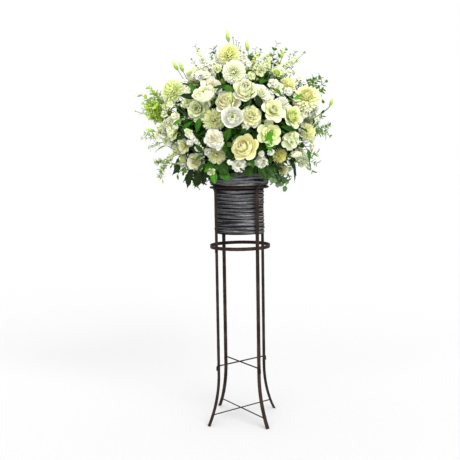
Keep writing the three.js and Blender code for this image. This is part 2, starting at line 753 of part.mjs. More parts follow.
// Points of a stem: out of its bundle, up clear of the foam, and straight for the last stretch
function stemPath({ tip, direction, swing = STEM_SWING }, steps, { rise, via, lift = 0 } = {}) {
  const middle = polarPoint(HOLE_CENTRE, sectorMiddle(sectorOf(tip)), BUNDLE_TOP - STEM_SINK);
  const aside = tip.clone().sub(middle).setZ(0).normalize();
  const low = THREE.MathUtils.clamp((STRAIGHT_TIP_Z - tip.z) / STRAIGHT_TIP_SPAN, 0.1, 1);
  const start = middle.clone().addScaledVector(aside, (BUNDLE_RADIUS - STEM_INSET) * low);
  const height = start.z + STEM_RISE + (tip.z - start.z) * STEM_LEAN + lift;
  const up = rise ?? start.clone().lerp(tip, 0.1).setZ(height);
  const before = via ?? tip.clone().addScaledVector(direction, -STRAIGHT_END);
  const bend = via ?? before.clone().addScaledVector(direction, -swing * tip.distanceTo(start));
  const end = via ? tip : before;
  const points = new THREE.CubicBezierCurve3(start, up, bend, end).getPoints(steps);
  return via ? points : [...points, tip];
}

// True where a stem keeps clear of the blooms on its way, other than its own
function pathClear(path) {
  const end = path[path.length - 1];
  const others = headSpheres.filter(({ centre, radius }) => end.distanceTo(centre) > radius * 0.9);
  return [...Array(STEM_TESTS).keys()].every((i) => {
    const { root } = pointOn(path, i / STEM_TESTS);
    return others.every(({ centre, radius }) => root.distanceTo(centre) > radius + STEM_SPACE);
  });
}

// Stem raised step by step until it passes over the blooms in its way
function clearStem(end, steps, options) {
  const paths = STEM_LIFTS.map((lift) => stemPath(end, steps, { ...options, lift }));
  return paths.find(pathClear) ?? paths[0];
}

function pointOn(path, share) {
  const place = share * (path.length - 1);
  const segment = Math.min(Math.floor(place), path.length - 2);
  const root = path[segment].clone().lerp(path[segment + 1], place - segment);
  const tangent = path[segment + 1].clone().sub(path[segment]).normalize();
  return { root, tangent };
}

// Rings of a stem's tube at given shares of its path
function stemRings(path, shares) {
  let side = null;
  return shares.map((share) => {
    const { root, tangent } = pointOn(path, share);
    const reference = side ?? (Math.abs(tangent.z) < 0.9 ? UP : vector(1, 0, 0));
    side = reference.clone().addScaledVector(tangent, -reference.dot(tangent)).normalize();
    return sectionRing(root, tangent, side, STEM_RADIUS * (1 - STEM_TAPER * share), STEM_SIDES);
  });
}

// Blade of a leaf from its foot to its tip, four points a station
function bladeRings(foot, along, right, { length, width, stations }) {
  const normal = along.clone().cross(right).normalize();
  const spine = (share) =>
    foot
      .clone()
      .addScaledVector(along, length * share)
      .addScaledVector(normal, -LEAF_DROOP * length * share * share);
  const rings = stations.map(([share, breadth]) =>
    [[-1, -1], [1, -1], [1, 1], [-1, 1]].map(([across, up]) =>
      spine(share)
        .addScaledVector(right, (across * width * breadth) / 2)
        .addScaledVector(normal, (up * LEAF_THICKNESS) / 2),
    ),
  );
  return { rings, tip: spine(1) };
}

// True where a leaf keeps clear of every bloom and of the next sector
function leafFits(foot, along, { length, width }, sector) {
  for (const share of [0.25, 0.5, 0.75, 1]) {
    const point = foot.clone().addScaledVector(along, length * share);
    if (insideSector(point, sector) < width / 2 + GAP) return false;
    for (const { centre, radius } of headSpheres) {
      if (point.distanceTo(centre) < radius + width / 3) return false;
    }
  }
  return true;
}

// Stem with leaves that grow out of its side faces: each leaf takes the place of one short
// face of the tube. A leaf is left out where it would meet a bloom.
function sprigGeometry(path, leaves, sector) {
  const long = path[0].distanceTo(path[path.length - 1]);
  const half = LEAF_FOOT / 2 / long;
  const feet = [...new Set(leaves.map(({ share }) => share))];
  const shares = [...path.keys()].map((i) => i / (path.length - 1));
  const clear = shares.filter((share) => feet.every((foot) => Math.abs(foot - share) > 2 * half));
  clear.push(...feet.flatMap((foot) => [foot - half, foot + half]));
  if (!clear.includes(1)) clear.push(1);
  clear.sort((a, b) => a - b);
  const rings = stemRings(path, clear);
  const points = [path[0], ...rings.flat(), path[path.length - 1]];
  const end = points.length - 1;
  const top = rings.length - 1;
  const at = (ring, side) => 1 + ring * STEM_SIDES + (side % STEM_SIDES);
  const index = [];
  const strip = (low, high) => {
    for (let i = 0; i < low.length; i++) {
      const j = (i + 1) % low.length;
      index.push(low[i], low[j], high[i], low[j], high[j], high[i]);
    }
  };
  const grow = (ring, side, leaf) => {
    const corners = [at(ring, side), at(ring, side + 1), at(ring + 1, side + 1), at(ring + 1, side)];
    const foot = vector(0, 0, 0);
    corners.forEach((corner) => foot.addScaledVector(points[corner], 0.25));
    const { root, tangent } = pointOn(path, leaf.share);
    const outward = foot.clone().sub(root).normalize();
    const right = tangent.clone().cross(outward).normalize();
    const along = tangent.clone().multiplyScalar(Math.cos(leaf.open));
    along.addScaledVector(outward, Math.sin(leaf.open)).normalize();
    const sizes = LEAF_SIZES.map((size) => ({
      ...leaf,
      length: leaf.length * size,
      width: leaf.width * size,
    }));
    const fitting = sizes.find((size) => leafFits(foot, along, size, sector));
    if (!fitting) return false;
    const blade = bladeRings(foot, along, right, fitting);
    let low = corners;
    for (const ring of blade.rings) {
      const high = ring.map((point) => points.push(point) - 1);
      strip(low, high);
      low = high;
    }
    const tip = points.push(blade.tip) - 1;
    low.forEach((corner, i) => index.push(corner, low[(i + 1) % low.length], tip));
    return true;
  };
  for (let side = 0; side < STEM_SIDES; side++) {
    index.push(0, at(0, side + 1), at(0, side));
    for (let ring = 0; ring < top; ring++) {
      const share = (clear[ring] + clear[ring + 1]) / 2;
      const short = clear[ring + 1] - clear[ring] < 2.5 * half;
      const leaf = leaves.find((one) => one.side === side && Math.abs(one.share - share) < half);
      if (short && leaf && grow(ring, side, leaf)) continue;
      index.push(at(ring, side), at(ring, side + 1), at(ring + 1, side));
      index.push(at(ring, side + 1), at(ring + 1, side + 1), at(ring + 1, side));
    }
    index.push(end, at(top, side), at(top, side + 1));
  }
  const geometry = new THREE.BufferGeometry().setFromPoints(points);
  geometry.setIndex(index);
  return geometry;
}

// Closed long bud at the end of a stem
function budGeometry(tip, direction, length) {
  const side = vector(direction.y, -direction.x, 0.001).normalize();
  const rings = [[0.3, 1], [0.7, 0.65]].map(([share, size]) => {
    const centre = tip.clone().addScaledVector(direction, -length * (1 - share));
    return sectionRing(centre, direction, side, BUD_RADIUS * size, BUD_SIDES);
  });
  return loft(tip.clone().addScaledVector(direction, -length), rings, tip);
}

function bloomStems(sector) {
  const pieces = [];
  for (const end of stemEnds.filter(({ tip }) => sectorOf(tip) === sector)) {
    const first = Math.floor(random(0, STEM_SIDES));
    const leaves = (end.leaves ?? []).map((share, i) => ({
      share,
      side: (first + i) % STEM_SIDES,
      open: STEM_LEAF_OPEN,
      stations: OVAL,
      ...STEM_LEAF,
    }));
    pieces.push(sprigGeometry(clearStem(end, 2), leaves, sector));
  }
  return pieces;
}

function budStems(sector) {
  const pieces = [];
  for (const [place, length] of BUDS) {
    const tip = vector(...place);
    if (sectorOf(tip) !== sector) continue;
    const direction = tip.clone().sub(FACE_FROM).normalize();
    const end = { tip: tip.clone().addScaledVector(direction, -length * BUD_SINK), direction };
    pieces.push(sprigGeometry(clearStem(end, 2), [], sector));
    pieces.push(budGeometry(tip, direction, length));
  }
  return pieces;
}

// Leaves of a spray in pairs, each pair turned against the next
function pairedLeaves(count, length, width) {
  const leaves = [];
  const pairs = Math.ceil(count / 2);
  for (let pair = 0; pair < pairs; pair++) {
    const share = SPRAY_TOP - (SPRAY_LEAFY * pair) / pairs;
    const open = pair === 0 ? SPRAY_TIP_OPEN : SPRAY_OPEN;
    for (const side of [pair % STEM_SIDES, (pair + 1) % STEM_SIDES]) {
      leaves.push({ share, side, open, length, width, stations: SMALL });
    }
  }
  return leaves;
}

function leafySprays(sector) {
  const pieces = [];
  for (const [via, tipPlace, count, length, width] of SPRAYS) {
    const tip = vector(...tipPlace);
    if (sectorOf(tip) !== sector) continue;
    const path = clearStem({ tip }, SPRAY_STEPS, { via: vector(...via) });
    pieces.push(sprigGeometry(path, pairedLeaves(count, length, width), sector));
  }
  return pieces;
}

// Stem that arches over the rim and hangs, moved along until it misses the blooms
function skirtPath(sector, turn) {
  let path;
  for (let attempt = 0; attempt < SKIRT_TRIES; attempt++) {
    const drift = (0.1 + 0.04 * attempt) * random(-1, 1);
    const share = THREE.MathUtils.clamp(turn + drift, -SKIRT_WIDEST_TURN, SKIRT_WIDEST_TURN);
    const azimuth = sectorMiddle(sector) + (share * 2 * Math.PI) / SECTORS;
    const tip = polarPoint(random(SKIRT_NEAR, SKIRT_FAR), azimuth, random(SKIRT_LOW, SKIRT_HIGH));
    const direction = polarPoint(0.6, azimuth, -0.8);
    const rise = polarPoint(HOLE_CENTRE + SKIRT_OUT, azimuth, FOAM_TOP + random(...SKIRT_RISE));
    path = stemPath({ tip, direction }, 3, { rise });
    if (pathClear(path)) break;
  }
  return path;
}

function skirt(sector) {
  return [-SKIRT_TURN, SKIRT_TURN].map((turn, i) => {
    const stations = i ? LOBED : OVAL;
    const leaves = SKIRT_LEAVES.map(([share, side]) => ({
      share,
      side,
      open: SKIRT_OPEN,
      stations,
      ...SKIRT_LEAF,
    }));
    return sprigGeometry(skirtPath(sector, turn), leaves, sector);
  });
}

// Stems of one sector bundled into its hole, with the buds and leaves that they carry
function greensGeometry(sector) {
  const foot = polarPoint(HOLE_CENTRE, sectorMiddle(sector), HOLE_BOTTOM + GAP);
  const head = foot.clone().setZ(BUNDLE_TOP);
  const bundle = bar([foot, head], () => BUNDLE_RADIUS, BUNDLE_SIDES);
  return joined([
    bundle,
    ...bloomStems(sector),
    ...budStems(sector),
    ...leafySprays(sector),
    ...skirt(sector),
  ]);
}

addStand();
addHolder();
addBlooms();
addSpires();
addGroups();
for (let sector = 0; sector < SECTORS; sector++) {
  addNode(`greens_${sector + 1}`, greensGeometry(sector), finish('green', 0.6, 0));
}

// The origin is the middle of the footprint, on the floor
arrangement.updateMatrixWorld(true);
const extent = new THREE.Box3().setFromObject(arrangement, true);
const middle = extent.getCenter(new THREE.Vector3());
arrangement.position.set(-middle.x, -middle.y, -extent.min.z);
arrangement.updateMatrixWorld(true);

export default arrangement;
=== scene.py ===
# Looks of the standing flower arrangement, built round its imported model.
# Metres, +Z up, the front faces -Y. Places are measured from the stand's own axis.
import json
from math import asin, atan2, cos, hypot, pi, radians, sin, sqrt, tau

import bpy
import numpy as np
from mathutils import Matrix, Vector


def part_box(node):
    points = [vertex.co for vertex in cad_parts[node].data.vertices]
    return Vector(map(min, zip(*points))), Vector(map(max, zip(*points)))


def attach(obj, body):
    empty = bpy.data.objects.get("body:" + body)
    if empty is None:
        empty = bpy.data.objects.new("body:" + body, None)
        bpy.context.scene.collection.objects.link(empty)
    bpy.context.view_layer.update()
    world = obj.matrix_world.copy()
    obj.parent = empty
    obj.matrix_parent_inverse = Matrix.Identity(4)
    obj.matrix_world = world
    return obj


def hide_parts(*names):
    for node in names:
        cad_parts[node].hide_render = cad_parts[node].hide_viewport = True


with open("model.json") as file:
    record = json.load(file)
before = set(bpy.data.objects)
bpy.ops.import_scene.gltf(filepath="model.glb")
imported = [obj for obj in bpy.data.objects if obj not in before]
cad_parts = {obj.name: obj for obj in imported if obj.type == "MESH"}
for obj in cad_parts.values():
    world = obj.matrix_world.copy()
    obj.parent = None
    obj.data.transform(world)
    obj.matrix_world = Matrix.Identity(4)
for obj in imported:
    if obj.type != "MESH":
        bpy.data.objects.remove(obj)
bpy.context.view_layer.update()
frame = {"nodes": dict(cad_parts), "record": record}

# The stand's axis, which all places below are measured from
ring_low, ring_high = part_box("lower_ring")
AXIS = np.array([(ring_low.x + ring_high.x) / 2, (ring_low.y + ring_high.y) / 2, 0.0])
SEED = 20117
UP = np.array([0.0, 0.0, 1.0])
GOLDEN_ANGLE = pi * (3 - sqrt(5))

# Dome of the large blooms, as the model has it
DOME_X, DOME_FRONT, DOME_BACK, DOME_Z, DOME_MIDDLE = 0.350, 0.260, 0.205, 0.270, 1.430
FACE_FROM = np.array([0.0, 0.0, 1.300])
FACE_FORWARD = 0.170
FACE_FORWARD_DEPTH = 0.120

# Holder
FOAM_TOP = 1.192
HOLE_CENTRE, HOLE_RADIUS = 0.056, 0.010
SECTORS = 7
SECTOR_START = radians(-100)

# Radii of stems: of a bloom, of a twig that fills or hangs, of a spray, its side twigs and a leaf
STEM_RADIUS = 0.0022
TWIG_RADIUS = 0.0018
SPRAY_RADIUS = 0.0016
SIDE_TWIG_RADIUS = 0.0012
LEAF_STALK = 0.0015

# The tables below are in millimetres, and the directions in them are in hundredths

# Outline of the greens from the front: height, half width, and how far it leans to the right
ENVELOPE = np.array([
    (1130, 120, 0), (1160, 220, 0), (1200, 290, 0), (1260, 345, 0), (1340, 372, 0), (1440, 372, 0),
    (1520, 335, 0), (1580, 255, 30), (1630, 195, 42), (1680, 110, 30), (1700, 0, 0),
]) / 1000

# Petals: material slot, then heart of the bloom, body, outer petals, foot of each petal (its own greener
# base and painted shade deep between the petals), and its edge
PALETTES = {
    "white": ("white", "e4eca8 f7f9de f9faec d8e4a4 fefef6"),
    "snow": ("white", "eaeeb8 fbfcee fcfcf4 e2e8b4 fffffa"),
    "mist": ("white", "e6eea4 f8fac8 fafbe0 d4e094 fdfeee"),
    "blush": ("cream", "f6ecc0 f9f7da fcfaee ece6b0 fefdf6"),
    "cream": ("cream", "dcde8a e2e7aa eaeec2 ccd27e f8f9e0"),
    "warm": ("cream", "faf0a4 fefac0 fffce0 f6eaa0 fffdee"),
    "olive": ("cream", "c9cd68 dce290 eaedbe b4ba54 f3f4d4"),
    "sage": ("lime", "98ac58 aebc76 c4ce98 8ca04c d8e0b8"),
    "celadon": ("lime", "b8c872 ced896 dfe5b8 b0c06e f0f4d8"),
    "acid": ("lime", "b0c830 c2d84e d8e884 a2ba28 ecf2bc"),
    "lemon": ("yellow", "eeee84 f3f4a8 f6f8cc e2e88a fcfce2"),
    "yellow": ("yellow", "ebe544 f0ec6c f4f19a dad84c faf9bc"),
    "buttery": ("yellow", "f8ec8a fdf5a6 fdf8c0 f4e888 fefce0"),
    "eye": ("white", "e2dc48 e4e068 eaeec0 cccf5c f8fae2"),
    "lime": ("lime", "d2e26c e4ee98 eaf2b8 c0d664 f5f8d6"),
}

# Leaf colours: blade, rib and edge
GREENS = {
    "deep": "0a1806 1e3412 0c1c08",
    "dark": "16300a 2e5018 1a360c",
    "mid": "20500a 40701e 285a10",
    "fresh": "648c2c 8cb04c 749a38",
    "vivid": "34780e 5c9c28 408418",
    "bright": "a8c648 c8dc78 bcd464",
    "pale": "8aa45a a4bc74 dfe6b8",
    "grey": "54724a 7e9a6a 68865a",
    "wire": "33402e 4a5a40 33402e",
    "stem": "4a6e28 7a9a44 4a6e28",
    "bud": "86a838 c4d878 d4e08c",
}

# Blooms of the front: node, kind, palette, radius, and direction where it isn't the one from facing
BLOOMS = [
    ("mum_1", "mum", "lemon", 53, (10, -90, 30)),
    ("mum_2", "mum", "white", 52, (-10, -97, -10)),
    ("mum_3", "mum", "lime", 56),
    ("mum_4", "spider", "olive", 49),
    ("mum_5", "mum", "lemon", 40),
    ("mum_6", "peony", "mist", 50),
    ("mum_7", "mum", "lemon", 43),
    ("mum_8", "spider", "olive", 41),
    ("rose_1", "rose", "blush", 40, (0, -85, 40)),
    ("rose_2", "peony", "warm", 51, (-8, -87, 40)),
    ("rose_3", "rose", "lime", 41),
    ("rose_4", "rose", "warm", 34, (-15, -97, 10)),
    ("ranunculus_1", "ranunculus", "mist", 48, (-22, -60, 76)),
    ("ranunculus_2", "ranunculus", "snow", 44),
    ("ranunculus_3", "peony", "buttery", 57, (-32, -88, 33)),
    ("lisianthus_1", "lisianthus", "celadon", 45, (-25, -92, 10)),
    ("lisianthus_2", "lisianthus", "cream", 46),
    ("lisianthus_3", "lisianthus", "white", 45),
    ("lisianthus_4", "cluster", "sage", 42),
    ("lisianthus_5", "lisianthus", "lime", 47),
    ("carnation_1", "carnation", "blush", 38),
    ("carnation_2", "carnation", "lemon", 42),
    ("carnation_3", "carnation", "lemon", 28, (15, -95, 10)),
    ("dahlia_1", "dahlia", "eye", 62, (-16, -80, 55)),
    ("sweetpea_1", "sweetpea", "celadon", 42),
    ("sweetpea_2", "sweetpea", "white", 36),
    ("sweetpea_3", "sweetpea", "white", 38),
]

# Groups of three blooms on the sides and back: node, kind, palette, azimuth in degrees, height as a
# share of the dome's, radius
GROUPS = [
    ("back_roses_1", "rose", "white", 18, 0.10, 44),
    ("back_mums_1", "mum", "cream", 62, 0.48, 46),
    ("back_roses_2", "rose", "cream", 70, -0.42, 46),
    ("back_mums_2", "mum", "yellow", 118, 0.02, 48),
    ("back_roses_3", "rose", "lime", 132, 0.62, 44),
    ("back_mums_3", "mum", "white", 158, -0.35, 44),
]
GROUP_SPREAD = 0.94

# Spires of florets: node, palette, foot, tip, radius at the foot
SPIRES = [
    ("spire_1", "snow", (-128, -105, 1592), (-172, -72, 1705), 34),
    ("spire_2", "mist", (150, -95, 1592), (268, -42, 1672), 27),
    ("spire_3", "mist", (-262, -96, 1412), (-368, -50, 1368), 36),
    ("spire_4", "snow", (-232, -172, 1352), (-146, -226, 1262), 23),
    ("spire_5", "cream", (-218, -96, 1305), (-318, -40, 1232), 32),
    ("spire_6", "mist", (272, -60, 1262), (318, -28, 1185), 29),
    ("spire_7", "lime", (52, -62, 1608), (92, -70, 1688), 28),
]

# Small blooms between the large ones: kind, palette, x, z, radius, and how far they stand out
SMALLS = [
    ("lisianthus", "lime", -303, 1347, 36, 0),
    ("lisianthus", "olive", -245, 1285, 30, 10),
    ("lisianthus", "lime", -262, 1219, 30, 0),
    ("cluster", "cream", 292, 1190, 22, 0),
    ("cluster", "mist", 335, 1287, 28, 0),
    ("cluster", "mist", 310, 1310, 26, 0),
    ("cluster", "white", 155, 1547, 29, 0),
    ("cluster", "mist", 127, 1473, 20, 20),
    ("cluster", "mist", -330, 1383, 30, 0),
    ("cluster", "mist", -335, 1425, 28, 0),
    ("cluster", "warm", -276, 1410, 26, 0),
    ("cluster", "lime", -330, 1460, 26, 0),
    ("cluster", "white", 32, 1357, 22, 0),
    ("cluster", "white", 141, 1252, 21, 10),
    ("spider", "yellow", 184, 1234, 34, 10),
    ("spider", "snow", 196, 1462, 30, 0),
    ("cluster", "white", 189, 1611, 30, 0),
    ("cluster", "lime", -235, 1470, 28, -10),
    ("cluster", "mist", 290, 1410, 28, 0),
    ("cluster", "lime", -88, 1610, 26, 10),
    ("cluster", "snow", 40, 1640, 28, 0),
    ("cluster", "snow", 100, 1655, 24, 0),
    ("lisianthus", "mist", 180, 1540, 32, -20),
    ("cluster", "lime", -215, 1340, 22, 10),
    ("cluster", "snow", -165, 1590, 30, 0),
    ("cluster", "white", 232, 1610, 22, 0),
    ("cluster", "white", 40, 1205, 15, 20),
    ("cluster", "white", -112, 1641, 27, 0),
    ("cluster", "mist", -132, 1583, 25, 10),
    ("cluster", "lime", 58, 1580, 24, 0),
    ("cluster", "celadon", 128, 1620, 26, 0),
    ("cluster", "snow", -134, 1262, 22, 20),
    ("cluster", "snow", -205, 1303, 20, 20),
    ("cluster", "snow", -172, 1277, 21, 20),
    ("rose", "acid", 172, 1596, 19, 10),
    ("cluster", "white", 222, 1512, 24, 0),
    ("cluster", "white", 250, 1652, 22, 0),
    ("cluster", "white", 220, 1640, 23, 0),
    ("cluster", "mist", 274, 1668, 16, 0),
    ("cluster", "white", 97, 1250, 20, 20),
]

# Small blooms at the rim and the lower right: kind, palette, middle, direction, radius
PLACED = [
    ("tulip", "cream", (253, -120, 1243), (-90, -40, -5), 34),
    ("rose", "cream", (-122, -158, 1170), (-20, -95, 10), 15),
]

# Long closed buds: tip, a point on the stem below, length, and radius of the stem if it is special
BUDS = [
    ((-46, -53, 1796), (-30, -50, 1700), 52),
    ((40, -47, 1752), (56, -50, 1650), 50),
    ((136, -135, 1662), (138, -120, 1570), 60),
    ((205, -40, 1712), (190, -50, 1630), 44),
    ((180, -130, 1632), (168, -110, 1560), 50),
    ((-292, -42, 1668), (-236, -50, 1570), 50),
    ((-262, -37, 1664), (-224, -50, 1570), 50),
    ((-425, -30, 1366), (-340, -30, 1345), 46),
    ((430, -36, 1494), (404, -50, 1432), 42, 3.4),
    ((-34, -300, 1494), (-26, -285, 1430), 40),
    ((56, -292, 1578), (58, -302, 1450), 16, 1.4),
    ((-330, 120, 1600), (-250, 100, 1540), 50),
    ((130, 170, 1715), (110, 140, 1630), 50),
    ((-60, 230, 1640), (-40, 180, 1580), 50),
]

# Leafy sprays: via point, tips of the twigs, leaf pairs a twig, leaf length and width, colour
SPRAYS = [
    ((-300, -20, 1420), [
        (-438, -20, 1519), (-422, -30, 1478), (-402, 0, 1548), (-376, -20, 1528), (-352, -30, 1522),
        (-400, -50, 1452), (-362, -60, 1462), (-345, -10, 1490),
    ], 9, 26, 16, "bright"),
    ((-310, -40, 1400), [
        (-430, -40, 1440), (-385, -50, 1495), (-372, -60, 1425), (-412, -20, 1500), (-392, -60, 1418),
    ], 9, 26, 16, "bright"),
    ((-290, -30, 1400), [
        (-418, -40, 1455), (-398, -30, 1475), (-376, -50, 1445), (-360, -60, 1400), (-345, -50, 1432),
        (-400, -30, 1430), (-386, -20, 1500),
    ], 9, 28, 18, "bright"),
    ((-80, -50, 1600), [(-106, -60, 1712), (-86, -70, 1676), (-98, -70, 1645), (-72, -80, 1655)],
     8, 21, 12, "mid"),
    ((-300, -20, 1330), [(-438, -30, 1325), (-402, -40, 1284), (-420, -20, 1345), (-372, -50, 1302)],
     9, 24, 11, "pale"),
    ((-415, -35, 1330), [(-348, -35, 1125), (-366, -20, 1150), (-350, -45, 1180), (-374, -40, 1215)],
     11, 21, 13, "pale"),
    ((-310, -10, 1400), [(-470, -10, 1448), (-440, 10, 1462)], 4, 9, 3, "wire"),
    ((-120, -20, 1600), [(-188, -40, 1730), (-203, -40, 1668), (-172, -30, 1712)], 7, 16, 11, "pale"),
    ((-80, -40, 1610), [(-100, -50, 1722), (-118, -50, 1690), (-78, -50, 1690), (-110, -70, 1650)],
     8, 18, 13, "pale"),
    ((-4, -10, 1640), [(-18, -40, 1764), (-2, -40, 1748), (8, -40, 1738)], 4, 11, 5, "wire"),
    ((12, -20, 1630), [(14, -50, 1722), (30, -50, 1690)], 7, 18, 10, "bright"),
    ((100, -20, 1620), [(80, -40, 1712), (104, -40, 1704), (66, -50, 1690)], 7, 17, 11, "pale"),
    ((140, -10, 1620), [
        (180, -30, 1738), (164, -30, 1705), (198, -30, 1690), (150, -40, 1680), (216, -30, 1706),
    ], 6, 24, 14, "fresh"),
    ((190, -10, 1600), [(300, -30, 1694), (258, -30, 1694), (236, -40, 1684)], 6, 19, 12, "pale"),
    ((280, -10, 1480), [
        (399, -20, 1566), (345, -20, 1580), (374, -20, 1585), (370, -30, 1492), (356, -30, 1518),
        (385, -10, 1530), (350, -30, 1497), (376, -30, 1476), (325, -30, 1566),
    ], 9, 26, 15, "fresh"),
    ((300, -30, 1400), [
        (416, -30, 1322), (406, -30, 1368), (386, -50, 1330), (380, -30, 1408), (352, -50, 1372),
        (400, -10, 1345), (364, -50, 1345),
    ], 8, 27, 12, "fresh"),
    ((290, -30, 1280), [(334, -40, 1165), (350, -30, 1200), (318, -50, 1215), (352, -30, 1245)],
     7, 28, 13, "fresh"),
    ((165, -100, 1175), [(199, -140, 1100), (172, -140, 1115), (205, -130, 1125), (150, -150, 1135)],
     6, 28, 22, "grey"),
    ((-280, 120, 1400), [(-385, 140, 1480), (-360, 130, 1510), (-370, 160, 1430)], 7, 26, 12, "bright"),
    ((-70, 145, 1560), [(-115, 185, 1700), (-80, 190, 1680), (-140, 180, 1650)], 7, 26, 12, "fresh"),
    ((70, 140, 1560), [(60, 180, 1715), (30, 190, 1690), (90, 190, 1680)], 7, 22, 12, "pale"),
    ((240, 110, 1460), [(330, 140, 1590), (360, 130, 1550), (300, 160, 1590)], 7, 26, 12, "mid"),
    ((0, 180, 1330), [(20, 285, 1400), (50, 285, 1350), (-30, 285, 1370)], 7, 26, 12, "bright"),
    ((260, 130, 1280), [(330, 180, 1180), (300, 200, 1200), (350, 150, 1230)], 7, 24, 12, "pale"),
    ((-240, 130, 1260), [(-300, 180, 1150), (-270, 200, 1170), (-320, 160, 1200)], 7, 24, 12, "fresh"),
]

# Broad leaves that show between the blooms: foot x and z, tip x and z, width, colour
LEAVES = [
    (-176, 1488, -244, 1498, 26, "deep"), (-182, 1492, -198, 1545, 26, "mid"),
    (-165, 1518, -165, 1562, 10, "deep"), (-20, 1508, -62, 1535, 30, "mid"),
    (-45, 1517, -100, 1510, 14, "dark"), (101, 1440, 77, 1490, 32, "deep"),
    (222, 1470, 254, 1488, 14, "vivid"), (134, 1348, 98, 1308, 22, "vivid"),
    (112, 1300, 136, 1268, 19, "vivid"), (124, 1332, 128, 1296, 14, "vivid"),
    (269, 1346, 191, 1357, 26, "mid"), (-35, 1354, -54, 1297, 22, "mid"),
    (-166, 1399, -182, 1341, 26, "mid"), (-206, 1384, -254, 1349, 16, "vivid"),
    (-215, 1400, -262, 1378, 14, "vivid"), (-228, 1326, -287, 1312, 18, "dark"),
    (228, 1260, 167, 1277, 20, "dark"), (280, 1287, 294, 1229, 20, "mid"),
    (119, 1231, 189, 1198, 30, "dark"), (-51, 1396, -69, 1355, 14, "fresh"),
    (29, 1452, 59, 1461, 20, "dark"), (163, 1521, 183, 1483, 16, "mid"),
    (-156, 1204, -129, 1176, 26, "vivid"), (-29, 1263, -56, 1220, 26, "deep"),
    (-170, 1308, -132, 1273, 24, "dark"), (75, 1253, 49, 1219, 24, "deep"),
    (32, 1353, 7, 1337, 18, "dark"),
]

# Leaves that hang over the rim at the front: foot, tip, width, colour, shape
HANGING = [
    ((-262, -90, 1195), (-305, -85, 1160), 50, "deep", "ivy"),
    ((-205, -100, 1180), (-242, -95, 1098), 54, "deep", "lobed"),
    ((-172, -120, 1175), (-204, -115, 1100), 54, "deep", "lobed"),
    ((-145, -130, 1180), (-163, -130, 1112), 48, "deep", "lobed"),
    ((-195, -70, 1180), (-258, -75, 1130), 40, "deep", "lobed"),
    ((-170, -120, 1165), (-190, -125, 1110), 44, "deep", "ovate"),
    ((-112, -155, 1170), (-108, -172, 1122), 34, "vivid", "ovate"),
    ((-118, -150, 1192), (-150, -160, 1172), 30, "vivid", "ovate"),
    ((-85, -160, 1200), (-50, -178, 1160), 46, "dark", "ovate"),
    ((-82, -155, 1172), (-40, -175, 1134), 40, "mid", "ovate"),
    ((-12, -150, 1205), (-4, -172, 1163), 46, "deep", "ovate"),
    ((24, -150, 1200), (26, -174, 1166), 46, "dark", "ovate"),
    ((44, -155, 1195), (50, -178, 1148), 32, "dark", "ovate"),
    ((94, -145, 1205), (120, -175, 1140), 54, "dark", "ovate"),
    ((122, -140, 1195), (152, -160, 1150), 44, "dark", "ovate"),
    ((244, -95, 1215), (256, -80, 1117), 16, "deep", "ovate"),
    ((226, -105, 1215), (266, -90, 1150), 15, "deep", "ovate"),
    ((318, -55, 1205), (330, -35, 1165), 14, "deep", "ovate"),
]


def metres(*values):
    """Sizes and points of a table row, from millimetres."""
    return [np.array(value) / 1000 for value in values]


def random_for(name):
    """Seeded random numbers of one piece."""
    return np.random.default_rng([SEED, *name.encode()])


def hex_colours(codes):
    """Linear colours of sRGB codes such as "f4f4ea"."""
    srgb = np.array([[int(code[i : i + 2], 16) for i in (0, 2, 4)] for code in codes.split()]) / 255
    return np.where(srgb <= 0.04045, srgb / 12.92, ((srgb + 0.055) / 1.055) ** 2.4)


def unit(vectors):
    return vectors / np.maximum(np.linalg.norm(vectors, axis=-1, keepdims=True), 1e-12)


def smooth(x):
    x = np.clip(x, 0, 1)
    return x * x * (3 - 2 * x)


def blend(first, second, share):
    return first + (second - first) * share


def stacked(*parts):
    """Points from their coordinates, each a number or an array."""
    return np.stack(np.broadcast_arrays(*parts), axis=-1)


def heading(azimuth, flat=1.0, rise=0.0):
    return np.array([flat * cos(azimuth), flat * sin(azimuth), rise])


def spokes(count):
    """Angles spread evenly over a full turn."""
    return np.arange(count) * tau / count


def frame_of(direction, spin=0.0):
    """Rotation whose third column is the direction."""
    third = unit(np.asarray(direction, float))
    helper = UP if abs(third[2]) < 0.95 else np.array([0.0, 1.0, 0.0])
    first = unit(np.cross(helper, third))
    second = np.cross(third, first)
    c, s = cos(spin), sin(spin)
    return np.stack([c * first + s * second, c * second - s * first, third], axis=1)


# Meshes


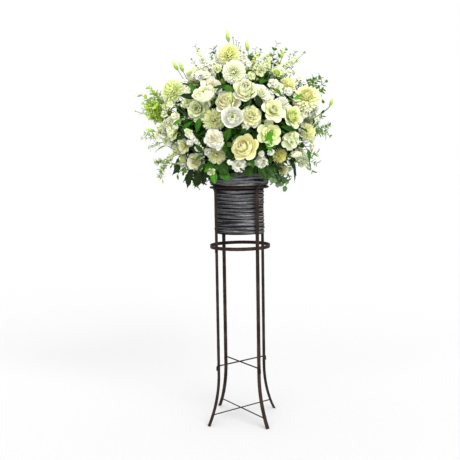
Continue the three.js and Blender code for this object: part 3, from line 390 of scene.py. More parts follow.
class Pile:
    """Sheets and tubes gathered into one mesh, with a colour and a grain at every point."""

    def __init__(self):
        self.parts = []
        self.count = 0

    def add(self, points, quads, colours, grains, material=0):
        fields = [np.broadcast_to(field, points.shape).reshape(-1, 3) for field in (points, colours, grains)]
        self.parts.append((*fields, quads + self.count, np.full(len(quads), material)))
        self.count += len(fields[0])

    def piece(self, name, materials, slot, *nodes):
        """The mesh as a piece of the object, which stands for the given nodes."""
        points, colours, grains, quads, indices = (np.concatenate(field) for field in zip(*self.parts))
        mesh = bpy.data.meshes.new(name)
        mesh.vertices.add(len(points))
        mesh.vertices.foreach_set("co", np.float32(points + AXIS).ravel())
        mesh.loops.add(quads.size)
        mesh.loops.foreach_set("vertex_index", np.int32(quads).ravel())
        mesh.polygons.add(len(quads))
        mesh.polygons.foreach_set("loop_start", np.arange(0, quads.size, 4, dtype=np.int32))
        mesh.polygons.foreach_set("material_index", np.int32(indices))
        mesh.polygons.foreach_set("use_smooth", np.ones(len(quads), bool))
        mesh.update(calc_edges=True)
        tints = np.ones((len(points), 4), np.float32)
        tints[:, :3] = np.clip(colours, 0, 1)
        mesh.attributes.new("tint", "FLOAT_COLOR", "POINT").data.foreach_set("color", tints.ravel())
        grain = mesh.attributes.new("grain", "FLOAT_VECTOR", "POINT")
        grain.data.foreach_set("vector", np.float32(grains).ravel())
        for material in materials:
            mesh.materials.append(material)
        piece = bpy.data.objects.new(name, mesh)
        bpy.context.scene.collection.objects.link(piece)
        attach(piece, "root")
        if nodes:
            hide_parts(*nodes)
        return piece


def grid_quads(rows, columns):
    """Faces of a grid of points, seen from its upper side."""
    corner = (np.arange(rows - 1)[:, None] * columns + np.arange(columns - 1)).ravel()
    return np.stack([corner, corner + 1, corner + columns + 1, corner + columns], axis=1)


def add_sheets(pile, grids, thickness, colours, grains, material=0):
    """Thin closed sheets from grids of points: an upper and a lower face that meet at the rim."""
    count, rows, columns, _ = grids.shape
    inner = np.zeros((rows, columns, 1))
    inner[1:-1, 1:-1] = thickness / 2
    offset = unit(np.cross(np.gradient(grids, axis=2), np.gradient(grids, axis=1))) * inner
    faces = grid_quads(rows, columns)
    step = np.arange(count)[:, None, None] * rows * columns
    for side, quads in ((grids + offset, faces), (grids - offset, faces[:, ::-1])):
        pile.add(side, (quads + step).reshape(-1, 4), colours, grains, material)


def add_tube(pile, path, radii, sides, colours, material=0):
    """Round stem along a path, closed at both ends."""
    path = np.asarray(path, float)
    radii = np.broadcast_to(radii, len(path)).astype(float)
    path = np.concatenate([path[:1], path, path[-1:]])
    radii = np.concatenate([[0], radii, [0]])
    tangent = unit(np.gradient(path, axis=0) + 1e-9 * UP)
    tangent[0], tangent[-1] = tangent[1], tangent[-2]
    side = np.zeros_like(path)
    carried = np.cross(tangent[0], UP if abs(tangent[0][2]) < 0.9 else np.array([1.0, 0, 0]))
    for i, direction in enumerate(tangent):
        carried = unit(carried - direction * (carried @ direction))
        side[i] = carried
    across = np.cross(tangent, side)
    turn = np.linspace(0, tau, sides + 1)
    ring = side[:, None] * np.cos(turn)[:, None] + across[:, None] * np.sin(turn)[:, None]
    points = path[:, None] + ring * radii[:, None, None]
    share = np.linspace(0, 1, len(path))[:, None]
    colours = np.asarray(colours, float)
    if colours.ndim == 2:
        colours = colours[:, None]
    quads = grid_quads(len(path), sides + 1)[:, ::-1]
    pile.add(points, quads, colours, stacked(share, turn / pi, 0.0), material)


# Petals

# Share of a petal's length at which each of its four angles holds
ANGLE_KEYS = np.array([0.0, 0.33, 0.67, 1.0])
# How deep the petals of a ball start below its middle, and how near the axis they may wrap round it
BALL_DEPTH = 0.12
WRAP_LEAST = 0.14
# Chance in the petals: azimuth in radians, share of the length, tilt and bend in degrees
TURN_JITTER, LENGTH_JITTER, TILT_JITTER, BEND_JITTER = 0.05, 0.04, 3.0, 2.5
# Colour of a petal's foot, its own greener base and painted shade deep between the petals: its strength, and
# the share of the length over which it fades
FOOT_TONE_AND_SHADE_STRENGTH, FOOT_TONE_AND_SHADE_LENGTH = 0.85, 0.65
# Pale edge of a petal: its strength, and the shares of length and half width at which it starts
LIP_STRENGTH, LIP_ALONG, LIP_BESIDE = 0.5, 0.75, 0.6
SHADE_JITTER = 0.035
# Sepals under a bloom, as shares of its radius: how deep their feet lie, length, width
SEPAL_DEPTH, SEPAL_LENGTH, SEPAL_WIDTH = 0.52, 0.62, 0.24


class Style:
    """How the petals of one kind of bloom are cut and curved."""

    rows, columns = 6, 5
    peak, base, tip = 0.6, 0.25, 2.0
    cup, wrap = 0.3, 0.0
    ruffle, waves, frill = 0.0, 2.0, 0.0
    thickness, jitter = 0.008, 1.0

    def __init__(self, **changes):
        vars(self).update(changes)

    def outline(self, u):
        """Half width of a petal along its length, as a share of its widest."""
        rise = self.base + (1 - self.base) * np.sin(pi / 2 * np.clip(u / self.peak, 0, 1))
        fall = 1 - np.clip((u - self.peak) / (1 - self.peak), 0, 1) ** self.tip
        return np.where(u < self.peak, rise, np.sqrt(np.clip(fall, 0.012, 1)))


def summed(steps):
    """Running totals of rows of steps, from 0."""
    return np.concatenate([np.zeros((len(steps), 1)), np.cumsum(steps, 1)], 1)


def petal_grids(style, rng, azimuth, foot, length, width, angles):
    """Grids of petals round +Z for a bloom of radius 1. Angles are from the bloom's own axis."""
    count = len(azimuth)
    u = np.sin(np.linspace(0, pi / 2, style.rows))
    v = np.linspace(-1, 1, style.columns)
    keys = np.stack([np.interp(u, ANGLE_KEYS, row) for row in np.eye(4)], axis=1)
    angle = angles @ keys.T
    middle = (angle[:, 1:] + angle[:, :-1]) / 2
    steps = np.diff(u) * length[:, None]
    reach = foot[:, :1] + summed(np.sin(middle) * steps)
    height = foot[:, 1:] + summed(np.cos(middle) * steps)
    half = (width[:, None] / 2 * style.outline(u))[:, :, None]
    side = half * v
    phase = rng.uniform(0, tau, (count, 1, 1))
    ripple = np.sin(v * pi * style.waves + phase) * (0.3 + 0.7 * np.abs(v))
    lift = style.cup * half * v**2 + style.ruffle * ripple * u[:, None] ** 2
    out = style.frill * smooth((u - 0.7) / 0.3)[:, None] * rng.uniform(-1, 1, (count, 1, style.columns))
    slope = angle[:, :, None]
    radial = reach[:, :, None] - np.cos(slope) * lift + np.sin(slope) * out
    upward = height[:, :, None] + np.sin(slope) * lift + np.cos(slope) * out
    turned = azimuth[:, None, None] + style.wrap * side / np.maximum(radial, WRAP_LEAST)
    beside = (1 - style.wrap) * side
    x = radial * np.cos(turned) - beside * np.sin(turned)
    y = radial * np.sin(turned) + beside * np.cos(turned)
    return stacked(x, y, upward), u, v


def petal_colours(palette, share, u, v, rng):
    """Colours of petals: by their place in the bloom, deeper at the foot as the petal's own base colour and
    painted shade, pale at the edge.
    """
    heart, body, outer, foot, rim = hex_colours(PALETTES[palette][1])
    share = share[:, None, None, None]
    along, beside = u[:, None, None], np.abs(v)[:, None]
    colour = blend(heart, body, smooth(share * 2))
    colour = blend(colour, outer, smooth(share * 2 - 1))
    # The foot's deeper colour is partly painted shade for the depth between the petals
    colour = blend(colour, foot, FOOT_TONE_AND_SHADE_STRENGTH * (1 - smooth(along / FOOT_TONE_AND_SHADE_LENGTH)))
    tip_lip = smooth((along - LIP_ALONG) / (1 - LIP_ALONG))
    side_lip = smooth((beside - LIP_BESIDE) / (1 - LIP_BESIDE))
    colour = blend(colour, rim, LIP_STRENGTH * np.maximum(tip_lip, side_lip))
    return colour * (1 + SHADE_JITTER * rng.standard_normal((len(share), 1, 1, 1)))


class Head:
    """One flower head in the making: where it goes, its size and its colours."""

    def __init__(self, pile, centre, direction, spin, radius, rng, palette):
        self.pile, self.rng, self.palette = pile, rng, palette
        self.centre, self.turn, self.radius = np.asarray(centre), frame_of(direction, spin), radius

    def petals(self, style, share, azimuth, foot, length, width, angles):
        """Petals of one ring or ball, put in place at the bloom's size."""
        rng, wild, count = self.rng, style.jitter, len(azimuth)
        azimuth = azimuth + rng.normal(0, TURN_JITTER * wild, count)
        length = length * (1 + rng.normal(0, LENGTH_JITTER * wild, count))
        tilt = rng.normal(0, TILT_JITTER * wild, (count, 1)) + rng.normal(0, BEND_JITTER * wild, (count, 4))
        grids, u, v = petal_grids(style, rng, azimuth, foot, length, width, np.radians(angles + tilt))
        grids = self.centre + self.radius * grids @ self.turn.T
        colours = petal_colours(self.palette, share, u, v, rng)
        grains = stacked(u[:, None], v, rng.uniform(0, 40, (count, 1, 1)))
        add_sheets(self.pile, grids, style.thickness * self.radius, colours, grains)

    def rings(self, style, rings):
        """Whorls of petals, each a row: count, foot, length, width, four angles, share, wrap."""
        for count, foot, length, width, angles, share, wrap in rings:
            style.wrap = wrap
            ones = np.ones(count)
            turn = spokes(count) + self.rng.uniform(0, tau)
            self.petals(style, ones * share, turn, np.tile(foot, (count, 1)), ones * length, ones * width,
                        np.tile(angles, (count, 1)))

    def ball(self, style, count, spread, core, reach, width, bend, share=(0, 1)):
        """Petals spread evenly over a ball by the golden angle."""
        i = np.arange(count)
        t = np.sqrt((i + 0.5) / count)
        polar = blend(*spread, t)
        lean = np.radians(polar)
        foot = stacked(core * np.sin(lean), core * np.cos(lean) - BALL_DEPTH)
        bends = np.array(bend[0]) * (1 - t[:, None]) + np.array(bend[1]) * t[:, None]
        self.petals(style, blend(*share, t), i * GOLDEN_ANGLE, foot, blend(*reach, t), blend(*width, t),
                    polar[:, None] + bends)

    def knob(self, code, radius, height, tall):
        """Small round heart of the bloom."""
        steps = np.linspace(0, pi, 7)
        rise = height - tall * radius * np.cos(steps)
        path = self.centre + self.radius * (self.turn[:, 2] * rise[:, None])
        add_tube(self.pile, path, self.radius * radius * np.sin(steps), 10, hex_colours(code)[0])

    def calyx(self):
        """Green sepals under the bloom."""
        azimuth = spokes(5) + self.rng.uniform(0, 6)
        outward = stacked(np.cos(azimuth), np.sin(azimuth), 0.55) @ self.turn.T
        up = self.turn[:, 2]
        foot = self.centre - up * self.radius * SEPAL_DEPTH
        length, width = self.radius * SEPAL_LENGTH, self.radius * SEPAL_WIDTH
        add_leaves(self.pile, self.rng, foot, outward, -up, length, width, "mid",
                   rows=4, columns=3, droop=-0.4, material=1)


def mum(head):
    style = Style(rows=5, peak=0.62, base=0.3, tip=2.4, cup=0.55, thickness=0.012)
    bend = (-6, -24, -46, -62), (4, 4, 2, -18)
    head.ball(style, 128, (4, 118), 0.30, (0.50, 0.74), (0.17, 0.30), bend)


def spider(head):
    style = Style(columns=3, peak=0.5, base=0.4, tip=3.0, cup=0.8, thickness=0.014, jitter=1.8)
    bend = (-6, -20, -50, -70), (4, 6, 0, -28)
    head.ball(style, 150, (4, 112), 0.28, (0.46, 0.84), (0.12, 0.18), bend)


def dahlia(head):
    """Long outer petals round a ball of short inner ones."""
    style = Style(base=0.35, tip=1.8, cup=0.4, thickness=0.01)
    bend = (-6, -8, -8, -20), (4, 0, -6, -14)
    head.ball(style, 92, (50, 112), 0.26, (0.62, 0.82), (0.22, 0.30), bend, (0.8, 1))
    style = Style(rows=5, columns=3, peak=0.55, base=0.4, tip=2.2, cup=0.8, thickness=0.012)
    bend = (-4, -20, -50, -70), (0, -14, -34, -54)
    head.ball(style, 84, (2, 62), 0.34, (0.24, 0.42), (0.12, 0.15), bend, (0, 0.5))


def carnation(head):
    style = Style(columns=9, peak=0.86, base=0.16, tip=3.4, cup=0.1, ruffle=0.085, waves=2.6, frill=0.06,
                  thickness=0.01, jitter=2.2)
    head.rings(style, [
        (5, (0.02, -0.30), 0.92, 0.46, (22, 6, 8, 16), 0.0, 0.3),
        (7, (0.03, -0.34), 0.98, 0.56, (34, 20, 22, 30), 0.2, 0.2),
        (8, (0.04, -0.38), 1.02, 0.62, (50, 38, 36, 50), 0.4, 0.1),
        (9, (0.05, -0.42), 1.06, 0.66, (66, 56, 54, 70), 0.6, 0.1),
        (10, (0.05, -0.44), 1.06, 0.70, (82, 72, 74, 92), 0.8, 0.0),
        (10, (0.05, -0.46), 1.04, 0.70, (96, 90, 92, 108), 1.0, 0.0),
    ])


def rose(head):
    style = Style(rows=8, columns=7, peak=0.62, base=0.45, tip=2.8, cup=0.06, ruffle=0.014, waves=1.4,
                  thickness=0.014, jitter=1.3)
    head.rings(style, [
        (3, (0.03, -0.30), 0.80, 0.42, (24, 4, -8, 4), 0.0, 1.0),
        (4, (0.05, -0.34), 0.88, 0.62, (44, 10, -6, 14), 0.1, 1.0),
        (4, (0.06, -0.38), 0.98, 0.82, (62, 22, -4, 26), 0.25, 1.0),
        (5, (0.08, -0.42), 1.08, 0.92, (76, 32, 2, 34), 0.45, 1.0),
        (5, (0.10, -0.46), 1.18, 1.06, (88, 44, 12, 54), 0.65, 0.9),
        (5, (0.12, -0.48), 1.26, 1.12, (96, 58, 28, 76), 0.85, 0.8),
        (6, (0.12, -0.48), 1.26, 1.08, (102, 78, 54, 100), 1.0, 0.6),
    ])


def ranunculus(head):
    style = Style(rows=7, columns=7, peak=0.64, base=0.5, tip=3.2, cup=0.02, ruffle=0.008, waves=1.2,
                  thickness=0.012, jitter=0.9)
    rings = []
    layers = 9
    for layer in range(layers):
        t = layer / (layers - 1)
        reach = 0.16 + 0.74 * t
        angles = (70 + 30 * t, 40 + 26 * t, 2 + 22 * t, -42 + 62 * t**2)
        rings.append((4 + layer // 2, (0.4 * reach, -0.10 - 0.30 * t), 0.52 + 0.46 * t, 0.34 + 0.66 * t,
                      angles, t, 1.0 - 0.3 * t))
    head.rings(style, rings)
    head.knob("6f8426", 0.11, 0.20, 0.8)


def lisianthus(head):
    style = Style(rows=7, columns=9, peak=0.72, base=0.3, tip=2.8, cup=0.14, ruffle=0.055, waves=1.8,
                  thickness=0.012, jitter=1.6)
    head.rings(style, [
        (4, (0.04, -0.40), 0.86, 0.56, (34, 10, 0, 26), 0.1, 0.9),
        (5, (0.05, -0.44), 1.00, 0.76, (52, 24, 10, 48), 0.35, 0.7),
        (5, (0.06, -0.48), 1.14, 0.90, (70, 44, 34, 74), 0.65, 0.5),
        (6, (0.07, -0.50), 1.22, 0.94, (88, 68, 60, 102), 1.0, 0.3),
    ])
    head.knob("a9b43c", 0.07, 0.05, 2.4)


def peony(head):
    """Full round bloom of broad curled petals that close over its heart."""
    style = Style(rows=7, columns=7, peak=0.66, base=0.4, tip=2.6, cup=0.12, ruffle=0.035, waves=1.8,
                  thickness=0.014, jitter=1.6)
    head.rings(style, [
        (3, (0.02, -0.30), 0.94, 0.50, (20, 2, -12, -10), 0.0, 1.0),
        (4, (0.04, -0.34), 1.05, 0.70, (40, 12, -14, -12), 0.2, 1.0),
        (5, (0.06, -0.38), 1.16, 0.84, (58, 26, -8, -16), 0.4, 1.0),
        (5, (0.08, -0.42), 1.20, 0.98, (74, 40, 2, -10), 0.6, 1.0),
        (6, (0.10, -0.46), 1.25, 1.06, (88, 56, 18, 6), 0.8, 1.0),
        (6, (0.12, -0.48), 1.22, 1.06, (98, 72, 38, 46), 1.0, 0.8),
    ])


def tulip(head):
    style = Style(rows=8, columns=7, peak=0.5, base=0.5, tip=2.2, cup=0.1, thickness=0.016)
    head.rings(style, [
        (3, (0.05, -0.85), 1.70, 0.90, (58, 8, -6, -24), 0.2, 1.0),
        (3, (0.08, -0.88), 1.82, 1.05, (64, 14, -4, -18), 0.8, 1.0),
    ])


def floret(head, rows=4, columns=5):
    """Open flower of five broad wavy petals round a small inner cup."""
    style = Style(rows=rows, columns=columns, peak=0.66, base=0.2, tip=2.6, cup=0.2, ruffle=0.07, waves=1.6,
                  thickness=0.022, jitter=2.0)
    head.rings(style, [
        (3, (0.03, -0.20), 0.62, 0.60, (40, 18, 12, 30), 0.1, 0.3),
        (5, (0.04, -0.30), 1.06, 0.94, (66, 52, 62, 92), 0.9, 0.1),
    ])


def cluster(head, count=6, rows=4, columns=5, size=1.0):
    """Head of small open flowers on one stem."""
    rng = head.rng
    for i in range(count):
        polar = 0.0 if i == 0 else rng.uniform(0.75, 1.3)
        azimuth = i * tau / (count - 1) + rng.uniform(-0.25, 0.25)
        aim = head.turn @ heading(azimuth, sin(polar), cos(polar))
        spot = head.centre + aim * head.radius * rng.uniform(0.36, 0.56)
        spin = rng.uniform(0, 6)
        small = size * head.radius * rng.uniform(0.48, 0.64)
        floret(Head(head.pile, spot, aim, spin, small, rng, head.palette), rows, columns)


def sweetpea(head):
    """Head of a few large open flowers."""
    cluster(head, 5, 5, 7, 1.3)


KINDS = {kind.__name__: kind for kind in (
    mum, spider, dahlia, carnation, rose, ranunculus, lisianthus, peony, tulip, cluster, sweetpea,
)}


# Leaves


def ovate(u):
    return np.sin(pi * u**0.8) ** 0.85


def oval(u):
    return np.sin(pi * u**0.9) ** 0.6


def lobed(u):
    shares = [0, 0.10, 0.24, 0.36, 0.52, 0.64, 0.80, 1]
    return np.interp(u, shares, [0.1, 0.95, 0.5, 1.0, 0.42, 0.7, 0.3, 0.0])


def ivy(u):
    shares = [0, 0.06, 0.20, 0.34, 0.50, 0.62, 0.80, 1]
    return np.interp(u, shares, [0.3, 0.9, 0.72, 1.0, 0.5, 0.46, 0.26, 0.0])


SHAPES = {shape.__name__: shape for shape in (ovate, lobed, ivy)}


def leaf_colours(rng, count, colour, v):
    blade, rib, edge = hex_colours(GREENS[colour])
    shade = rng.uniform(0.75, 1.25, (count, 1, 1, 1))
    beside = np.abs(v)[:, None]
    body = blend(blade, rib, 0.5 * (beside < 0.01))
    return blend(body, edge, smooth((beside - 0.5) / 0.5)) * shade


def add_leaves(pile, rng, foot, direction, normal, length, width, colour, shape=ovate,
               rows=7, columns=5, droop=0.5, fold=0.25, wave=0.05, thickness=0.0007, material=0):
    """Leaves from their feet along their directions, arched over and folded at the rib."""
    direction = unit(np.atleast_2d(direction))
    count = len(direction)
    foot, normal = (np.broadcast_to(value, direction.shape) for value in (foot, normal))
    length, width = (np.broadcast_to(value, count).astype(float)[:, None] for value in (length, width))
    side = unit(np.cross(direction, normal) + 1e-9)
    normal = np.cross(side, direction)
    u = np.linspace(0, 1, rows)
    v = np.linspace(-1, 1, columns)
    bend = (droop * rng.uniform(0.6, 1.4, count))[:, None] * u
    middle = (bend[:, 1:] + bend[:, :-1]) / 2
    step = length / (rows - 1)
    ahead = (summed(np.cos(middle)) * step)[..., None]
    down = (summed(np.sin(middle)) * step)[..., None]
    half = (width / 2 * np.maximum(shape(u), 0.02))[..., None]
    phase = rng.uniform(0, tau, (count, 1, 1))
    ripple = np.sin(7 * u[:, None] + 2 * v + phase) * np.abs(v)
    lift = fold * half * np.abs(v) + wave * width[..., None] * ripple
    upward = normal[:, None] * np.cos(bend)[..., None] + direction[:, None] * np.sin(bend)[..., None]
    spine = foot[:, None] + direction[:, None] * ahead - normal[:, None] * down
    grids = spine[:, :, None] + side[:, None, None] * (half * v)[..., None]
    grids = grids + upward[:, :, None] * lift[..., None]
    grains = stacked(u[:, None], v, rng.uniform(0, 40, (count, 1, 1)))
    add_sheets(pile, grids, thickness, leaf_colours(rng, count, colour, v), grains, material)


# Places


def dome_normal(point):
    depth = DOME_FRONT if point[1] < 0 else DOME_BACK
    return unit(np.array([point[0] / DOME_X**2, point[1] / depth**2, (point[2] - DOME_MIDDLE) / DOME_Z**2]))


def dome_point(x, z, out=0.0):
    """Point on the front of the dome, moved outwards."""
    left = 1 - (x / DOME_X) ** 2 - ((z - DOME_MIDDLE) / DOME_Z) ** 2
    point = np.array([x, -DOME_FRONT * sqrt(max(left, 0.004)), z])
    return point + dome_normal(point) * out


def envelope_point(azimuth, z, depth):
    """Point in the mass of greens: azimuth, height, and share of the way out."""
    heights, widths, leans = ENVELOPE.T
    reach = np.interp(z, heights, widths) * depth
    across = DOME_FRONT if sin(azimuth) < 0 else DOME_BACK
    lean = np.interp(z, heights, leans)
    return np.array([reach * cos(azimuth) + lean, reach * sin(azimuth) * across / DOME_X, z])


def facing(centre):
    """Direction that a bloom faces: outwards, and those of the front turned to the viewer."""
    forward = FACE_FORWARD * min(max(-centre[1] / FACE_FORWARD_DEPTH, 0), 1)
    return unit(centre - FACE_FROM + np.array([0, -forward, 0]))


def node_centre(node):
    low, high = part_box(node)
    return (np.array(low) + np.array(high)) / 2 - AXIS


def sector_of(point):
    turn = (atan2(point[1], point[0]) - SECTOR_START) / tau
    return int((turn % 1) * SECTORS)


def hole_top(sector, rng):
    """Point in the top of the hole of the foam that holds a sector's stems."""
    azimuth = SECTOR_START + (sector + 0.5) * tau / SECTORS
    spread = HOLE_RADIUS * sqrt(rng.uniform())
    return heading(azimuth, HOLE_CENTRE) + heading(rng.uniform(0, tau), spread, FOAM_TOP - 0.03)


def bezier(a, b, c, d, count):
    t = np.linspace(0, 1, count)[:, None]
    return (1 - t) ** 3 * a + 3 * t * (1 - t) ** 2 * b + 3 * t**2 * (1 - t) * c + t**3 * d


def route(tip, direction, rng, count=12, swing=0.25, via=None):
    """Points of a stem: out of its hole, up clear of the foam, and straight for the last stretch."""
    start = hole_top(sector_of(tip), rng)
    up = start + 0.1 * (tip - start)
    up[2] = start[2] + 0.07 + 0.25 * max(tip[2] - start[2], 0)
    bend = tip - direction * swing * np.linalg.norm(tip - start) if via is None else via
    return bezier(start, up, bend, tip, count)


def point_on(path, share):
    place = np.asarray(share) * (len(path) - 1)
    i = np.minimum(place.astype(int), len(path) - 2)
    step = path[i + 1] - path[i]
    return path[i] + step * (place - i)[..., None], unit(step)


# Materials


class Look:
    """A material in the making, with the nodes that give it its detail."""

    def __init__(self, name):
        self.material = bpy.data.materials.new(name)
        self.material.use_nodes = True
        self.tree = self.material.node_tree

    def fill(self, node, values):
        """Sockets of a node: each a linked output, or a constant on the socket itself."""
        for name, value in values.items():
            if isinstance(value, bpy.types.NodeSocket):
                self.tree.links.new(value, node.inputs[name])
            else:
                node.inputs[name].default_value = value

    def add(self, kind, output, values, **settings):
        node = self.tree.nodes.new(kind)
        for name, value in settings.items():
            setattr(node, name, value)
        self.fill(node, values)
        return node.outputs[output]

    def finish(self, **values):
        """The material, with its shader's sockets: a name's underscores stand for spaces."""
        shader = self.tree.nodes["Principled BSDF"]
        self.fill(shader, {name.replace("_", " "): value for name, value in values.items()})
        return self.material

    def place(self):
        return self.add("ShaderNodeTexCoord", "Object", {})

    def tint(self):
        return self.add("ShaderNodeAttribute", "Color", {}, attribute_name="tint")

    def grain(self):
        return self.add("ShaderNodeAttribute", "Vector", {}, attribute_name="grain")

    def stretched(self, vector, scale):
        return self.add("ShaderNodeMapping", "Vector", {"Scale": scale, "Vector": vector})

    def noise(self, vector, scale, detail=2.0, rough=0.5):
        values = {"Scale": scale, "Detail": detail, "Roughness": rough, "Vector": vector}
        return self.add("ShaderNodeTexNoise", "Fac", values)

    def bump(self, height, strength, distance):
        values = {"Strength": strength, "Distance": distance, "Height": height}
        return self.add("ShaderNodeBump", "Normal", values)

    def math(self, operation, *values):
        return self.add("ShaderNodeMath", "Value", dict(enumerate(values)), operation=operation)

    def mixed(self, kind, factor, first, second):
        values = {"Factor": factor, "A": first, "B": second}
        return self.add("ShaderNodeMix", "Result", values, data_type="RGBA", blend_type=kind)

    def ramp(self, value, stops):
        """Greys or colours at shares of a value."""
        output = self.add("ShaderNodeValToRGB", "Color", {"Fac": value})
        elements = output.node.color_ramp.elements
        while len(elements) < len(stops):
            elements.new(0.5)
        for element, (position, grey) in zip(elements, stops):
            element.position = position
            element.color = (*grey, 1) if isinstance(grey, tuple) else (grey, grey, grey, 1)
        return output


def petal_material(name):
    """Velvety petal with fine veins from foot to tip."""
    look = Look(name)
    veins = look.noise(look.stretched(look.grain(), (1.2, 9.0, 1.0)), 2.4, 3.0)
    shade = look.ramp(veins, [(0.3, (0.93, 0.94, 0.86)), (0.7, (1.0, 1.0, 1.0))])
    return look.finish(
        Base_Color=look.mixed("MULTIPLY", 1.0, look.tint(), shade),
        Roughness=0.62,
        Specular_IOR_Level=0.2,
        Subsurface_Weight=0.45,
        Subsurface_Radius=(0.005, 0.005, 0.003),
        Subsurface_Scale=1.0,
        Normal=look.bump(veins, 0.25, 0.0006),
    )


def leaf_material(name):
    """Waxy leaf with side veins and mottled green."""
    look = Look(name)
    grain = look.grain()
    mottle = look.noise(look.stretched(grain, (3.0, 2.0, 1.0)), 1.6, 3.0)
    beside = look.math("ABSOLUTE", look.add("ShaderNodeSeparateXYZ", "Y", {"Vector": grain}))
    along = look.add("ShaderNodeSeparateXYZ", "X", {"Vector": grain})
    slant = look.math("MULTIPLY_ADD", beside, -0.22, along)
    veins = look.ramp(look.math("PINGPONG", slant, 0.06), [(0.0, 1.0), (0.018, 0.0)])
    green = look.mixed("MULTIPLY", 1.0, look.tint(), look.ramp(mottle, [(0.3, 0.60), (0.7, 1.35)]))
    lighter = look.mixed("SCREEN", 0.12, green, (0.45, 0.7, 0.25, 1))
    return look.finish(
        Base_Color=look.mixed("MIX", veins, green, lighter),
        Roughness=0.5,
        Specular_IOR_Level=0.04,
        Subsurface_Weight=0.1,
        Subsurface_Radius=(0.002, 0.004, 0.001),
        Subsurface_Scale=1.0,
        Normal=look.bump(veins, 0.3, 0.0004),
    )


def iron_material():
    """Forged bar with a hammered dark brown coat, rubbed and rusty in places."""
    look = Look("hammered_iron")
    place = look.place()
    dents = look.add("ShaderNodeTexVoronoi", "Distance", {"Scale": 95, "Vector": place})
    patches = look.noise(place, 22, 5.0, 0.6)
    return look.finish(
        Base_Color=look.ramp(patches, [
            (0.30, (0.008, 0.004, 0.003)), (0.48, (0.016, 0.008, 0.006)),
            (0.62, (0.036, 0.018, 0.011)), (0.78, (0.014, 0.008, 0.006)),
        ]),
        Specular_IOR_Level=0.14,
        Roughness=look.ramp(patches, [(0.3, 0.5), (0.7, 0.72)]),
        Normal=look.bump(dents, 0.5, 0.0012),
    )


def vine_material():
    """Peeled vine, white-washed and grey, darker where the wash has worn off."""
    look = Look("washed_vine")
    grain = look.grain()
    fibres = look.noise(look.stretched(grain, (7.0, 5.0, 1.0)), 1.5, 4.0, 0.65)
    wash = look.noise(look.stretched(grain, (1.6, 1.2, 1.0)), 1.0, 3.0)
    streaks = look.ramp(fibres, [(0.34, 0.25), (0.50, 0.8), (0.72, 1.7)])
    patches = look.ramp(wash, [(0.35, 0.55), (0.65, 1.35)])
    body = look.mixed("MULTIPLY", 1.0, look.tint(), streaks)
    return look.finish(
        Base_Color=look.mixed("MULTIPLY", 1.0, body, patches),
        Roughness=0.85,
        Specular_IOR_Level=0.15,
        Normal=look.bump(fibres, 0.7, 0.0015),
    )


def pot_material():
    look = Look("liner_plastic")
    specks = look.noise(look.place(), 300, 2.0)
    colour = look.ramp(specks, [(0.3, 0.018), (0.7, 0.035)])
    return look.finish(Base_Color=colour, Roughness=0.5, Normal=look.bump(specks, 0.15, 0.0003))


def foam_material():
    look = Look("wet_foam")
    pores = look.noise(look.place(), 420, 3.0, 0.7)
    colour = look.ramp(pores, [(0.3, (0.018, 0.05, 0.025)), (0.7, (0.05, 0.13, 0.06))])
    return look.finish(Base_Color=colour, Roughness=0.9, Normal=look.bump(pores, 0.6, 0.001))


PETALS = {slot: petal_material(slot + "_petals") for slot in ("white", "cream", "yellow", "lime")}
LEAF = leaf_material("leaf")
IRON = iron_material()
VINE = vine_material()


# Flowers

# Filled as the blooms are made: their balls, which leaves keep out of, and where stems have to end
balls = []
stem_ends = []

# How far in front of a bloom no leaf of the filling twigs hangs
CLEAR_AHEAD = 0.07
# Share of a bloom's radius that leaves keep out of
CLEAR_SHARE = 0.92
# How far below the middle of a bloom its stem ends, as a share of its radius
STEM_DEPTH, FILLER_STEM_DEPTH = 0.5, 0.3
# How deep the middles of the small blooms lie in the dome
SMALL_DEPTH = 0.012
# Share of a spire from which its florets are in bud, and the radius of its stalk
BUDS_FROM = 0.82
STALK_RADIUS = 0.002


def bloom_gaps(points, ahead):
    """Distance of points from the nearest bloom, or from the space that far in front of it."""
    centres, aims, radii = (np.array(column) for column in zip(*balls))
    away = points[..., None, :] - centres
    along = np.clip(np.sum(away * aims, axis=-1), 0, ahead)
    gaps = np.linalg.norm(away - along[..., None] * aims, axis=-1) - CLEAR_SHARE * radii
    return gaps.min(axis=-1)


def add_bloom(pile, kind, palette, centre, direction, radius, rng):
    """One bloom, with the ball that leaves keep out of and the end of its stem."""
    head = Head(pile, centre, direction, rng.uniform(0, tau), radius, rng, palette)
    KINDS[kind](head)
    if kind != "cluster":
        head.calyx()
    balls.append((centre, direction, radius))
    stem_ends.append((centre - direction * radius * STEM_DEPTH, direction))


def flower_piece(pile, name, slot, *nodes):
    pile.piece(name, [PETALS[slot], LEAF], "petal_" + slot, *nodes)


def node_piece(pile, node, ending):
    """Piece that stands for a node, with the petal material of the node's own slot."""
    slot = next(part["material_slot"] for part in frame["record"]["subparts"] if part["node"] == node)
    flower_piece(pile, node + ending, slot.removeprefix("petal_"), node)


def make_blooms():
    """Large blooms of the front, each at the middle of its node."""
    for node, kind, palette, radius, *aim in BLOOMS:
        centre = node_centre(node)
        direction = unit(np.array(aim[0])) if aim else facing(centre)
        pile = Pile()
        add_bloom(pile, kind, palette, centre, direction, radius / 1000, random_for(node))
        node_piece(pile, node, "_petals")


